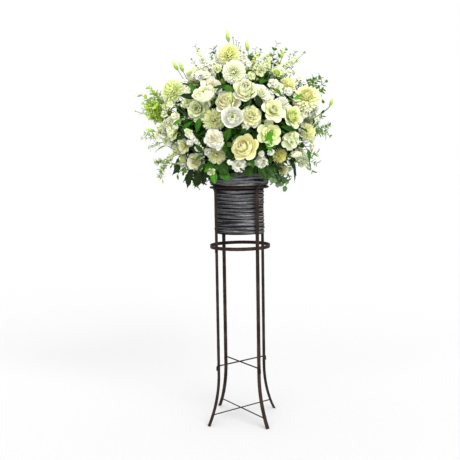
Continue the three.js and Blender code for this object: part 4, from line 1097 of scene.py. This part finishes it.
def make_groups():
    """Blooms of the sides and back, three at a time round one point of the dome."""
    for node, kind, palette, degrees, height, radius in GROUPS:
        rng = random_for(node)
        radius /= 1000
        azimuth = radians(degrees)
        level = sqrt(1 - height**2)
        middle = np.array([
            DOME_X * level * cos(azimuth), DOME_BACK * level * sin(azimuth), DOME_MIDDLE + DOME_Z * height,
        ])
        outwards = dome_normal(middle)
        # The same turn from +Z to the outward direction as the model's
        axis = np.cross(UP, outwards)
        c = outwards[2]
        pile = Pile()
        for i in range(3):
            flat = radius * GROUP_SPREAD * heading(tau * i / 3 + azimuth)
            offset = flat * c + np.cross(axis, flat) + axis * (axis @ flat) / (1 + c)
            add_bloom(pile, kind, palette, middle + offset, unit(2 * outwards + unit(offset)), radius, rng)
        node_piece(pile, node, "_petals")


def make_spires():
    """Florets in a spiral up a stalk, open at the foot and in bud at the tip."""
    for node, palette, *ends in SPIRES:
        rng = random_for(node)
        foot, tip, radius = metres(*ends)
        along = tip - foot
        turn = frame_of(along)
        pile = Pile()
        stalk = foot + along * np.linspace(-0.1, 0.97, 6)[:, None]
        add_tube(pile, stalk, STALK_RADIUS, 6, hex_colours(GREENS["fresh"])[0], 1)
        bud_colour = hex_colours(PALETTES[palette][1])[3]
        count = int(14 + 100 * np.linalg.norm(along))
        for i in range(count):
            share = (i + 0.5) / count
            size = radius * (1 - 0.6 * share**1.5)
            tilt = 1.25 - 0.8 * share
            aim = turn @ heading(i * GOLDEN_ANGLE, sin(tilt), cos(tilt))
            spot = foot + along * (0.03 + 0.9 * share) + aim * size * 0.42
            if share > BUDS_FROM:
                bud = spot + aim * size * np.linspace(-0.2, 0.7, 5)[:, None]
                add_tube(pile, bud, size * 0.26 * np.array([0.4, 1, 1, 0.7, 0.2]), 6, bud_colour)
            else:
                small = size * rng.uniform(0.48, 0.62)
                floret(Head(pile, spot, aim, rng.uniform(0, 6), small, rng, palette))
        node_piece(pile, node, "_florets")
        stem_ends.append((foot, unit(along)))
        for share in (0.15, 0.5, 0.85):
            middle = foot + along * share
            balls.append((middle, facing(middle), radius * (1 - 0.4 * share)))


def make_smalls():
    """Small blooms between the large ones, one piece for each slot."""
    blooms = []
    for i, (kind, palette, *sizes) in enumerate(SMALLS):
        x, z, radius, lift = metres(*sizes)
        centre = dome_point(x, z, lift - SMALL_DEPTH)
        blooms.append((kind, palette, centre, facing(centre), radius, random_for(f"small_{i}")))
    for i, (kind, palette, centre, aim, radius) in enumerate(PLACED):
        centre, radius = metres(centre, radius)
        blooms.append((kind, palette, centre, unit(np.array(aim)), radius, random_for(f"placed_{i}")))
    piles = {}
    for kind, palette, *rest in blooms:
        add_bloom(piles.setdefault(PALETTES[palette][0], Pile()), kind, palette, *rest)
    for slot, pile in piles.items():
        flower_piece(pile, "small_blooms_" + slot, slot)


FILLER_POINTS = 380
FILLER_PALETTES = ("white", "snow", "mist", "lime", "cream", "mist")
FILLER_RADIUS = 0.022
FILLER_LOW_EDGE, FILLER_HIGH_EDGE = 0.06, 0.02
# Gap that a filler keeps from a bloom, as a share of its own radius
FILLER_GAP = 0.6
# Share of the points that stay empty, and where more do: the lower middle of the front keeps its
# dark gaps between leaves
FILLER_LEFT_OUT, FILLER_LEFT_OUT_BARE = 0.35, 0.80
BARE_FRONT, BARE_TOP = -0.12, 1.42


def make_fillers():
    """Sprigs of small florets in the gaps between the blooms, all round."""
    rng = random_for("fillers")
    sway = random_for("filler_sway")
    piles = {}
    low, high = ENVELOPE[0, 0] + FILLER_LOW_EDGE, ENVELOPE[-1, 0] - FILLER_HIGH_EDGE
    for i in range(FILLER_POINTS):
        z = low + (high - low) * (i + 0.5) / FILLER_POINTS
        azimuth = i * GOLDEN_ANGLE
        size = 1.0
        if sin(azimuth) > 0.1:
            # Looser and more mixed behind
            azimuth += sway.normal(0, 0.16)
            z = min(z + sway.normal(0, 0.016), high)
            size = sway.uniform(0.75, 1.5)
        centre = envelope_point(azimuth, z, rng.uniform(0.90, 1.0))
        palette = FILLER_PALETTES[rng.integers(len(FILLER_PALETTES))]
        radius = FILLER_RADIUS * size * rng.uniform(0.8, 1.25)
        bare = centre[1] < BARE_FRONT and z < BARE_TOP
        left_out = FILLER_LEFT_OUT_BARE if bare else FILLER_LEFT_OUT
        near = float(bloom_gaps(centre, CLEAR_AHEAD))
        if near < FILLER_GAP * radius or rng.uniform() < left_out:
            continue
        pile = piles.setdefault(PALETTES[palette][0], Pile())
        direction = unit(centre - FACE_FROM)
        cluster(Head(pile, centre, direction, rng.uniform(0, 6), radius, rng, palette), 4, columns=3)
        balls.append((centre, direction, radius))
        stem_ends.append((centre - direction * radius * FILLER_STEM_DEPTH, direction))
    for slot, pile in piles.items():
        flower_piece(pile, "filler_florets_" + slot, slot)


# Greens


def add_stem(pile, path, radius=STEM_RADIUS, colour="stem", sides=6):
    foot, head, _ = hex_colours(GREENS[colour])
    share = np.linspace(0, 1, len(path) + 2)[:, None]
    add_tube(pile, path, np.linspace(radius, radius * 0.7, len(path)), sides, blend(foot, head, 0.4 * share))


def clear_of_blooms(foot, direction, length, width, ahead):
    """True for the leaves that keep out of every bloom and of the space in front of it."""
    shares = np.array([0.25, 0.5, 0.75, 1.0])
    points = foot[:, None] + direction[:, None] * (length[:, None] * shares)[..., None]
    return bloom_gaps(points, ahead).min(axis=1) > width * 0.15


def leafy_stem(pile, rng, path, shares, length, width, colour, opening=0.9, pairs=False,
               ahead=CLEAR_AHEAD, **leaf):
    """Leaves round a stem at given shares of its length, in turn or in crossed pairs."""
    shares = np.repeat(shares, 2 if pairs else 1)
    i = np.arange(len(shares))
    turn = pi * (i % 2) + pi / 2 * (i // 2 % 2) if pairs else i * GOLDEN_ANGLE
    turn = turn + rng.uniform(0, 6) + rng.normal(0, 0.15, len(shares))
    root, tangent = point_on(path, shares)
    first = unit(np.cross(tangent, UP + 0.01))
    second = np.cross(tangent, first)
    outward = first * np.cos(turn)[:, None] + second * np.sin(turn)[:, None]
    open_angle = opening * rng.uniform(0.75, 1.2, len(shares))[:, None]
    direction = unit(tangent * np.cos(open_angle) + outward * np.sin(open_angle))
    normal = unit(tangent - direction * np.sum(tangent * direction, axis=1, keepdims=True))
    size = rng.uniform(0.75, 1.15, len(shares))
    keep = clear_of_blooms(root, direction, length * size, width * size, ahead)
    if keep.any():
        size = size[keep]
        add_leaves(pile, rng, root[keep], direction[keep], normal[keep], length * size, width * size, colour,
                   **leaf)


def add_bud(pile, rng, tip, below, length, stem=STEM_RADIUS):
    """Long closed bud, its petals rolled round each other in a spiral, on a leafy stem."""
    direction = unit(tip - below)
    rows, ridges, sides = 14, 5, 21
    share = np.linspace(0, 1, rows)[:, None]
    thick = 0.165 * length * np.interp(share, [0, 0.12, 0.35, 0.7, 1], [0.4, 0.8, 1.0, 0.66, 0.1])
    turn = np.linspace(0, tau, sides)
    swirl = 1 + 0.12 * np.cos(ridges * (turn - 2.2 * share))
    basis = frame_of(direction, rng.uniform(0, 6))
    ring = stacked(np.cos(turn), np.sin(turn)) @ basis[:, :2].T
    base = tip - direction * length
    points = (tip - direction * length * (1 - share))[:, None] + ring * (thick * swirl)[..., None]
    dark, light, _ = hex_colours(GREENS["bud"])
    colours = blend(dark, light, smooth(share))[:, None]
    pile.add(points, grid_quads(rows, sides), colours, stacked(share, turn / pi, 0.0))
    azimuth = spokes(4)
    outward = stacked(0.3 * np.cos(azimuth), 0.3 * np.sin(azimuth), 1.0) @ basis.T
    add_leaves(pile, rng, base, outward, -outward + direction, length * 0.5, 0.006, "mid", rows=4, columns=3,
               droop=-0.15)
    path = route(base + direction * 0.002, direction, rng, 16, via=below - direction * 0.03)
    add_stem(pile, path, stem)
    leafy_stem(pile, rng, path, [0.80, 0.88], 0.036, 0.012, "mid", 0.6)


def add_spray(pile, rng, via, tips, pairs, length, width, colour):
    """Stem that forks into twigs of small paired leaves."""
    stalk = "wire" if colour == "wire" else "stem"
    main = route(tips[0], None, rng, 18, via=via)
    add_stem(pile, main, SPRAY_RADIUS, stalk)
    shape = oval if width > 0.48 * length else ovate
    look = dict(opening=0.85, pairs=True, ahead=0.01, shape=shape, rows=5, columns=5, droop=0.35)
    leafy_stem(pile, rng, main, np.linspace(0.62, 0.99, pairs), length, width, colour, **look)
    for tip in tips[1:]:
        root, tangent = point_on(main, rng.uniform(0.55, 0.78))
        reach = np.linalg.norm(tip - root)
        twig = bezier(root, root + tangent * reach * 0.35, tip - unit(tip - root) * reach * 0.3, tip, 10)
        add_stem(pile, twig, SIDE_TWIG_RADIUS, stalk, 5)
        leafy_stem(pile, rng, twig, np.linspace(0.3, 1.0, pairs), length, width, colour, **look)


def add_fill(pile, rng, tip, colour, length, width):
    """Twig of leaves that fills the space behind the blooms."""
    path = route(tip, unit(tip - FACE_FROM + 0.3 * UP), rng, 10)
    add_stem(pile, path, TWIG_RADIUS, sides=5)
    leafy_stem(pile, rng, path, np.linspace(0.60, 1.0, 8), length, width, colour, 1.0,
               rows=6, columns=3, droop=0.6)


def add_single(pile, rng, foot, tip, width, colour, shape=ovate, normal=None, droop=0.25):
    """One broad leaf with its own stem."""
    direction = tip - foot
    if normal is None:
        normal = dome_normal(foot)
    length = np.linalg.norm(direction) * 1.06
    add_leaves(pile, rng, foot, direction, normal, length, width, colour, shape,
               rows=11, droop=droop, wave=0.06)
    inward = unit(unit(-direction) - 0.6 * normal)
    add_stem(pile, route(foot, -inward, rng, 12, 0.2), LEAF_STALK, sides=5)


def add_skirt(pile, rng, aim, low, reach, length, width, colour, shape):
    """Broad leaves on a stem that arches over the rim and hangs."""
    start = hole_top(sector_of(aim), rng)
    rise = aim * 0.090 + UP * (FOAM_TOP + rng.uniform(0.05, 0.09))
    bend = aim * reach * 0.9 + UP * (FOAM_TOP + rng.uniform(0.02, 0.06))
    path = bezier(start, rise, bend, aim * reach + UP * low, 12)
    add_stem(pile, path, TWIG_RADIUS, sides=5)
    leafy_stem(pile, rng, path, [0.60, 0.72, 0.84, 0.93, 1.0], length, width, colour, 0.8,
               shape=shape, rows=9, wave=0.08)


def lifted(foot, tip):
    """Foot and tip of a leaf, moved out of the dome until the leaf is clear of every bloom."""
    outwards = dome_normal(foot)
    for out in np.arange(0, 0.05, 0.004):
        line = foot + (tip - foot) * np.linspace(0.2, 1, 5)[:, None] + outwards * out
        if bloom_gaps(line, 0).min() > 0.003:
            break
    return foot + outwards * out, tip + outwards * out


FILLS = 250
FILL_LOW_EDGE, FILL_HIGH_EDGE = 0.04, 0.03
FILL_COLOURS = ("deep", "dark", "dark", "dark", "mid", "mid", "fresh")

SKIRTS = 30
# Azimuths of the sides and back, where the hanging leaves aren't placed one by one
SKIRT_START, SKIRT_END = radians(-20), radians(205)
SKIRT_COLOURS = ("deep", "dark", "mid", "fresh", "dark")
SKIRT_SHAPES = (ovate, lobed, ovate)


def add_bloom_stems(piles):
    """Stems of the blooms, each with two leaves where they fit."""
    for i, (tip, direction) in enumerate(stem_ends):
        rng = random_for(f"stem_{i}")
        path = route(tip, direction, rng)
        pile = piles[sector_of(tip)]
        add_stem(pile, path, sides=5)
        leafy_stem(pile, rng, path, [0.62, 0.78], 0.06, 0.028, "dark", rows=6)


def add_listed_greens(piles):
    """Buds, sprays and broad leaves of the tables."""
    for i, bud in enumerate(BUDS):
        add_bud(piles[sector_of(bud[0])], random_for(f"bud_{i}"), *metres(*bud))
    for i, (via, tips, pairs, *sizes, colour) in enumerate(SPRAYS):
        via, tips, *sizes = metres(via, tips, *sizes)
        add_spray(piles[sector_of(tips[0])], random_for(f"spray_{i}"), via, tips, pairs, *sizes, colour)
    for i, (*sizes, colour) in enumerate(LEAVES):
        x0, z0, x1, z1, width = metres(*sizes)
        foot, tip = lifted(dome_point(x0, z0, -0.010), dome_point(x1, z1))
        add_single(piles[sector_of(foot)], random_for(f"leaf_{i}"), foot, tip, width, colour)
    for i, (*sizes, colour, shape) in enumerate(HANGING):
        foot, tip, width = metres(*sizes)
        normal = unit(np.array([foot[0] * 0.8, -0.25, 0.10]))
        add_single(piles[sector_of(foot)], random_for(f"hanging_{i}"), foot, tip, width, colour,
                   SHAPES[shape], normal, 0.3)


def add_fills(piles):
    """Filling twigs, spread evenly through the outer part of the greens."""
    depths = random_for("fills")
    low, high = ENVELOPE[0, 0] + FILL_LOW_EDGE, ENVELOPE[-1, 0] - FILL_HIGH_EDGE
    for i in range(FILLS):
        z = low + (high - low) * (i + 0.5) / FILLS
        tip = envelope_point(i * GOLDEN_ANGLE, z, depths.uniform(0.68, 0.94))
        rng = random_for(f"fill_{i}")
        colour = FILL_COLOURS[rng.integers(len(FILL_COLOURS))]
        length = rng.uniform(0.045, 0.070)
        add_fill(piles[sector_of(tip)], rng, tip, colour, length, length * rng.uniform(0.40, 0.55))


def add_skirts(piles):
    """Stems of leaves that hang over the rim, round the sides and back."""
    for i in range(SKIRTS):
        rng = random_for(f"skirt_{i}")
        aim = heading(SKIRT_START + (SKIRT_END - SKIRT_START) * (i + rng.uniform(0.2, 0.8)) / SKIRTS)
        low, reach = rng.uniform(1.12, 1.17), rng.uniform(0.17, 0.23)
        length, width = rng.uniform(0.050, 0.068), rng.uniform(0.030, 0.042)
        colour = SKIRT_COLOURS[i % len(SKIRT_COLOURS)]
        shape = SKIRT_SHAPES[i % len(SKIRT_SHAPES)]
        add_skirt(piles[sector_of(aim)], rng, aim, low, reach, length, width, colour, shape)


def make_greens():
    """The greens of each sector of the foam as one piece."""
    piles = [Pile() for _ in range(SECTORS)]
    add_bloom_stems(piles)
    add_listed_greens(piles)
    add_fills(piles)
    add_skirts(piles)
    for i, pile in enumerate(piles):
        pile.piece(f"foliage_{i + 1}", [LEAF], "greens", f"greens_{i + 1}")


# Basket

BASKET_LOW, BASKET_HIGH = 0.882, 1.0966
BASKET_RADIUS = 0.116
BASKET_INSIDE = 0.1078
COURSES = 13
COLLAR_LOW, COLLAR_HIGH, COLLAR_LIMIT = 1.1010, 1.163, 1.17
COLLAR_FOOT_RADIUS, COLLAR_RADIUS = 0.1335, 0.1385
COLLAR_COURSES = 6
STEPS_PER_TURN = 60
# The side of the basket on which the vine is painted lighter, as painted light falling on its right front
PAINTED_LIGHT_SIDE = radians(-25)
# The third colour is painted shade: near-black for the shadow deep in the gaps between the vines
CHALK, GREY, PAINTED_GAP_SHADE = hex_colours("646467 2f2f31 09090a")

# Vines of one course, each a row: height above the course's middle as a share of its pitch, how far
# inwards it lies, half its depth, half its height, colour
# The last vine of each course, here and in the collar, is near-black painted shade deep in the gap between
# courses
BASKET_VINES = [
    (0.22, 0.0024, 0.0042, 0.0032, CHALK),
    (0.02, 0.0036, 0.0040, 0.0026, GREY),
    (-0.15, 0.0030, 0.0040, 0.0026, CHALK),
    (-0.46, 0.0080, 0.0030, 0.0024, PAINTED_GAP_SHADE),
]
COLLAR_VINES = [
    (0.25, 0.004, 0.0052, 0.0040, CHALK),
    (-0.05, 0.006, 0.0048, 0.0036, GREY),
    (-0.28, 0.004, 0.0046, 0.0034, CHALK),
    (-0.48, 0.010, 0.0034, 0.0030, PAINTED_GAP_SHADE),
]
# Wall behind the vines, near-black as painted shade seen through the gaps: radius and height of its profile,
# closed round the pot
WALL = [
    (0.0, 0.884), (0.1095, 0.884), (0.1095, 1.098), (0.123, 1.104), (0.128, 1.158), (0.122, 1.160),
    (0.1165, 1.104), (BASKET_INSIDE, 1.098), (BASKET_INSIDE, 0.8895), (0.0, 0.8895),
]


def wobble(rng, turn, size, slow=0.4, fast=5.0):
    """Smooth random sway along a coil."""
    total = np.zeros_like(turn)
    for frequency in rng.uniform(slow, fast, 5):
        total += np.sin(frequency * turn + rng.uniform(0, tau))
    return total * size / 2


def add_vine(pile, rng, turn, radius, z, out, tall, colour, sides):
    """One vine: an oval tube along a coil, knotty and worn along its length, and painted lighter towards one
    side as painted light.
    """
    ends = np.clip(np.minimum(turn - turn[0], turn[-1] - turn) / 0.15, 0.02, 1)
    size = (np.clip(1 + wobble(rng, turn, 0.26, 1.0, 9.0), 0.5, 1.5) * ends)[:, None]
    around = np.linspace(0, tau, sides + 1)
    reach = radius[:, None] + out * np.cos(around) * size
    height = z[:, None] + tall * np.sin(around) * size
    along = turn[:, None]
    points = stacked(reach * np.cos(along), reach * np.sin(along), height)
    grains = stacked(along, around / pi, rng.uniform(0, 40))
    # Painted light: the cosine term lightens the side facing the lamp; the wobble is random wear of the wash
    wear_and_painted_light = 1 + 0.35 * np.cos(turn - PAINTED_LIGHT_SIDE) + wobble(rng, turn, 0.40, 0.5, 5.0)
    colours = np.clip(wear_and_painted_light, 0.25, 2.2)[:, None, None] * colour
    pile.add(points, grid_quads(len(turn), sides + 1)[:, ::-1], colours, grains)


def add_coil(pile, rng, turn, level, pitch, radius, rows, sway, limits, sides):
    """The vines of a wound wall, side by side along one coil."""
    for above, inward, out, tall, colour in rows:
        around = radius - inward + wobble(rng, turn, sway[0])
        z = level + pitch * above + wobble(rng, turn, sway[1], 0.5, 5.0)
        z = np.clip(z, limits[0] + tall, limits[1])
        add_vine(pile, rng, turn, around, z, out, tall, colour, sides)


def coil_turn(courses):
    return np.linspace(0, tau * (courses - 1), STEPS_PER_TURN * (courses - 1) + 1)


def add_band(pile, profile, sides, colour):
    """Closed wall of a profile of (radius, height) points, swept round the axis."""
    turn = np.linspace(0, tau, sides + 1)
    radius, height = np.array(profile).T[:, :, None]
    points = stacked(radius * np.cos(turn), radius * np.sin(turn), height)
    grains = stacked(turn, height * 20, 0.0)
    pile.add(points, grid_quads(len(radius), sides + 1)[:, ::-1], colour, grains)


def make_basket():
    """Vine wound in a spiral on the pot, with a thicker, looser collar above the ring."""
    rng = random_for("basket")
    pile = Pile()
    pitch = (BASKET_HIGH - BASKET_LOW) / COURSES
    turn = coil_turn(COURSES)
    level = BASKET_HIGH - pitch * 0.5 - pitch * turn / tau + wobble(rng, turn, 0.0014, 0.3, 3.0)
    swell = 0.004 * np.clip((level - 1.0) / 0.1, -1, 1) ** 2 - 0.004
    add_coil(pile, rng, turn, level, pitch, BASKET_RADIUS + swell, BASKET_VINES, (0.0008, 0.0006),
             (0, COLLAR_LIMIT), 7)

    rise = (COLLAR_HIGH - COLLAR_LOW) / COLLAR_COURSES
    turn = coil_turn(COLLAR_COURSES)
    level = COLLAR_LOW + rise * 0.5 + rise * turn / tau + wobble(rng, turn, 0.0030, 0.5, 4.0)
    flare = blend(COLLAR_FOOT_RADIUS, COLLAR_RADIUS, np.sin(turn / turn[-1] * pi / 2))
    add_coil(pile, rng, turn, level, rise, flare, COLLAR_VINES, (0.0014, 0.0014),
             (COLLAR_LOW, COLLAR_LIMIT), 8)
    # Near-black wall behind the vines: painted shade in the gaps
    add_band(pile, WALL, 64, PAINTED_GAP_SHADE)
    pile.piece("woven_basket", [VINE], "vine", "basket")


# Stand

LEG_RADIUS = 0.1325
LEG_BEND_START, LEG_BEND_RADIUS = 0.235, 0.490
LEG_FLARE_START, LEG_FLARE_RADIUS = 1.07287, 0.030
LEG_FLARE_ANGLE = radians(74)
LEG_HALF_WIDTH, LEG_HALF_THICKNESS = 0.009, 0.0025
STAND_TURN = radians(36)
UPPER_RING_Z, UPPER_RING_ROD, UPPER_RING_RADIUS = 1.0955, 0.0048, 0.13247
LOWER_RING_LOW, LOWER_RING_HIGH = 0.815, 0.831
LOWER_RING_HALF_THICKNESS = 0.002
LUG_HALF_WIDTH = 0.004
HIGH_ROD_Z, HIGH_ROD_RADIUS = 0.270, 0.0032
LOW_ROD_Z, LOW_ROD_RADIUS = 0.045, 0.0027
# Hooks of the high rods: radius of the bend, reach past the leg, and drop
HOOK_BEND, HOOK_REACH, HOOK_DROP = 0.0045, 0.007, 0.020
GAP = 0.0003
IRON_TINT = hex_colours("30241f")[0]
RING_SIDES = 96


def leg_axes(index):
    """Directions outwards and sideways at a leg."""
    radial = heading(STAND_TURN + index * pi / 2)
    return radial, np.array([-radial[1], radial[0], 0])


def leg_radius(z):
    below = np.maximum(LEG_BEND_START - z, 0)
    return LEG_RADIUS + LEG_BEND_RADIUS - np.sqrt(LEG_BEND_RADIUS**2 - below**2)


def rounded_bar(w, t, bevel=0.0008):
    """Section of a flat bar with eased edges, as (across, out) points, from its half sizes."""
    corners = [(-w, -t), (w, -t), (w, t), (-w, t)]
    outline = []
    for i, corner in enumerate(corners):
        for other in (corners[i - 1], corners[(i + 1) % 4]):
            away = np.subtract(other, corner)
            outline.append(corner + bevel * away / np.linalg.norm(away))
    return np.array(outline + outline[:1])


def iron_piece(pile, name, node, crisp=40):
    """Piece of the stand, its edges crisp where faces meet at more than an angle in degrees."""
    piece = pile.piece(name, [IRON], "iron", node)
    piece.data.set_sharp_from_angle(angle=radians(crisp))


def add_bar(pile, rings):
    """Bar from its rings of points, closed at both ends."""
    centres = rings[[0, -1], :-1].mean(axis=1)
    ends = np.repeat(centres[:, None], rings.shape[1], axis=1)
    rings = np.concatenate([ends[:1], rings, ends[1:]])
    pile.add(rings, grid_quads(*rings.shape[:2])[:, ::-1], IRON_TINT, 0.0)


def make_leg(index):
    """Flat bar, curved out to its foot below and rolled out over the ring at the top."""
    bend = np.linspace(0, LEG_BEND_START, 24)
    straight = np.linspace(LEG_BEND_START, LEG_FLARE_START, 60)[1:]
    flare = np.linspace(0, LEG_FLARE_ANGLE, 10)[1:]
    z = np.concatenate([bend, straight])
    line_r = np.concatenate([leg_radius(z), LEG_RADIUS + LEG_FLARE_RADIUS * (1 - np.cos(flare))])
    line_z = np.concatenate([z, LEG_FLARE_START + LEG_FLARE_RADIUS * np.sin(flare)])
    slope = np.concatenate([-np.arcsin(np.maximum(LEG_BEND_START - z, 0) / LEG_BEND_RADIUS), flare])
    section = rounded_bar(LEG_HALF_WIDTH, LEG_HALF_THICKNESS)
    hammered = 1 + 0.02 * random_for(f"leg_{index}").standard_normal((len(line_z), 1))
    across = section[:, 0] * hammered
    out = section[:, 1] * np.ones_like(hammered)
    reach = line_r[:, None] + out * np.cos(slope)[:, None]
    height = line_z[:, None] - out * np.sin(slope)[:, None]
    # The foot is cut flat on the floor
    reach[0] = line_r[0] + out[0] / cos(slope[0])
    height[0] = 0
    height = np.maximum(height, 0)
    radial, beside = leg_axes(index)
    pile = Pile()
    add_bar(pile, reach[..., None] * radial + across[..., None] * beside + height[..., None] * UP)
    iron_piece(pile, f"forged_leg_{index + 1}", f"leg_{index + 1}")


def make_upper_ring():
    section = [(UPPER_RING_RADIUS + UPPER_RING_ROD * cos(a), UPPER_RING_Z + UPPER_RING_ROD * sin(a))
               for a in np.linspace(0, tau, 13)]
    pile = Pile()
    add_band(pile, section, RING_SIDES, IRON_TINT)
    pile.piece("round_ring", [IRON], "iron", "upper_ring")


def make_lower_ring():
    """Flat ring round the legs, with a lug down each leg."""
    middle = hypot(LEG_RADIUS + LEG_HALF_THICKNESS, LEG_HALF_WIDTH) + GAP + LOWER_RING_HALF_THICKNESS
    half_height = (LOWER_RING_HIGH - LOWER_RING_LOW) / 2
    section = rounded_bar(LOWER_RING_HALF_THICKNESS, half_height, 0.0007)
    pile = Pile()
    add_band(pile, section + (middle, LOWER_RING_LOW + half_height), RING_SIDES, IRON_TINT)
    lug = rounded_bar(LUG_HALF_WIDTH, LOWER_RING_HALF_THICKNESS, 0.0006)
    for index in range(4):
        radial, beside = leg_axes(index)
        add_bar(pile, np.array([
            (middle + lug[:, 1:]) * radial + lug[:, :1] * size * beside + UP * (LOWER_RING_LOW - drop)
            for drop, size in ((0.016, 0.75), (0.013, 1.0), (-0.006, 1.0))
        ]))
    iron_piece(pile, "flat_ring", "lower_ring")


def make_rod(line, radial, radius, name, node):
    """Round rod along a line of (distance from the axis, height) points."""
    pile = Pile()
    add_tube(pile, [x * radial + z * UP for x, z in line], radius, 12, IRON_TINT)
    iron_piece(pile, name, node, 50)


def make_rods():
    """Crossed rods: the high pair hooks over the outside of the legs, the low pair ends inside."""
    hook = LEG_RADIUS + LEG_HALF_THICKNESS + HOOK_REACH
    for index, (letter, side) in enumerate((("a", 1), ("b", -1))):
        radial, _ = leg_axes(index)
        level = HIGH_ROD_Z + side * (HIGH_ROD_RADIUS + GAP / 2)
        half = [(hook - HOOK_BEND + HOOK_BEND * sin(a), level + HOOK_BEND * (cos(a) - 1))
                for a in np.radians(np.linspace(0, 90, 7))]
        half.append((hook + 0.001, level - HOOK_DROP))
        line = [(-x, z) for x, z in reversed(half)] + [(x, level) for x in np.linspace(-0.1, 0.1, 9)] + half
        make_rod(line, radial, HIGH_ROD_RADIUS, f"hooked_rod_{letter}", f"high_rod_{letter}")

        level = LOW_ROD_Z + side * (LOW_ROD_RADIUS + GAP / 2)
        slope = asin((LEG_BEND_START - level) / LEG_BEND_RADIUS)
        end = float(leg_radius(level + LOW_ROD_RADIUS)) - LEG_HALF_THICKNESS / cos(slope) - GAP
        line = [(x, level) for x in np.linspace(-end, end, 12)]
        make_rod(line, radial, LOW_ROD_RADIUS, f"straight_rod_{letter}", f"low_rod_{letter}")


def dress_nodes():
    """Materials of the nodes that stay."""
    for node, material in (("liner", pot_material()), ("foam", foam_material())):
        mesh = frame["nodes"][node].data
        mesh.materials.clear()
        mesh.materials.append(material)


# Studio

FOCAL_PIXELS = 690
FRAME_PIXELS = 460
CAMERA_DISTANCE = 3.190
CAMERA_HEIGHT = 1.216
CAMERA_PITCH = 0.100
CAMERA_ROLL = -0.015
AXIS_PIXELS = 9.87

# Soft lights: name, direction towards the light, strength, and angle that it seems wide
SUNS = [
    ("key", (1.2, -1.8, 1.3), 2.4, 40),
    ("fill", (-0.8, -1.9, 1.0), 1.3, 60),
]
# Floor colour at which the lights above make it as bright as the background
FLOOR_COLOUR = 0.64
FLOOR_SIZE = 60.0


def look_matrix(spot, aim, roll=0.0):
    """Matrix of a camera or light that looks along a direction."""
    turn = Vector(aim).to_track_quat("-Z", "Y").to_matrix().to_4x4()
    return Matrix.Translation(Vector(spot)) @ turn @ Matrix.Rotation(roll, 4, "Z")


def studio_object(name, data):
    item = bpy.data.objects.new(name, data)
    bpy.context.scene.collection.objects.link(item)
    return item


def make_floor():
    look = Look("studio_paper")
    tooth = look.noise(look.place(), 40, 2.0)
    colour = look.ramp(tooth, [(0.3, FLOOR_COLOUR - 0.006), (0.7, FLOOR_COLOUR + 0.006)])
    corners = [(x * FLOOR_SIZE, y * FLOOR_SIZE, 0) for x, y in ((-1, -1), (1, -1), (1, 1), (-1, 1))]
    mesh = bpy.data.meshes.new("studio_floor")
    mesh.from_pydata(corners, [], [(0, 1, 2, 3)])
    mesh.materials.append(look.finish(Base_Color=colour, Roughness=1.0, Specular_IOR_Level=0.0))
    floor = studio_object("studio_floor", mesh)


def make_lights():
    world = bpy.data.worlds.new("studio")
    world.use_nodes = True
    world.node_tree.nodes["Background"].inputs["Color"].default_value = (1, 1, 1, 1)
    world.node_tree.nodes["Background"].inputs["Strength"].default_value = 1.0
    bpy.context.scene.world = world
    for name, towards, strength, angle in SUNS:
        data = bpy.data.lights.new(name, "SUN")
        data.energy = strength
        data.angle = radians(angle)
        light = studio_object(name, data)
        light.matrix_world = look_matrix(AXIS + np.array(towards), -np.array(towards))


def make_camera():
    """Camera at the photo's angle, its picture shifted sideways as the photo's is."""
    scene = bpy.context.scene
    data = bpy.data.cameras.new("camera")
    data.sensor_width = 36
    data.lens = data.sensor_width * FOCAL_PIXELS / FRAME_PIXELS
    data.shift_x = -AXIS_PIXELS / FRAME_PIXELS
    camera = studio_object("camera", data)
    spot = AXIS + np.array([0, -CAMERA_DISTANCE, CAMERA_HEIGHT])
    aim = np.array([0, cos(CAMERA_PITCH), -sin(CAMERA_PITCH)])
    camera.matrix_world = look_matrix(spot, aim, CAMERA_ROLL)
    scene.camera = camera
    scene.view_settings.view_transform = "Standard"


make_upper_ring()
make_lower_ring()
for leg in range(4):
    make_leg(leg)
make_rods()
make_basket()
dress_nodes()
make_blooms()
make_groups()
make_spires()
make_smalls()
make_fillers()
make_greens()
make_floor()
make_lights()
make_camera()
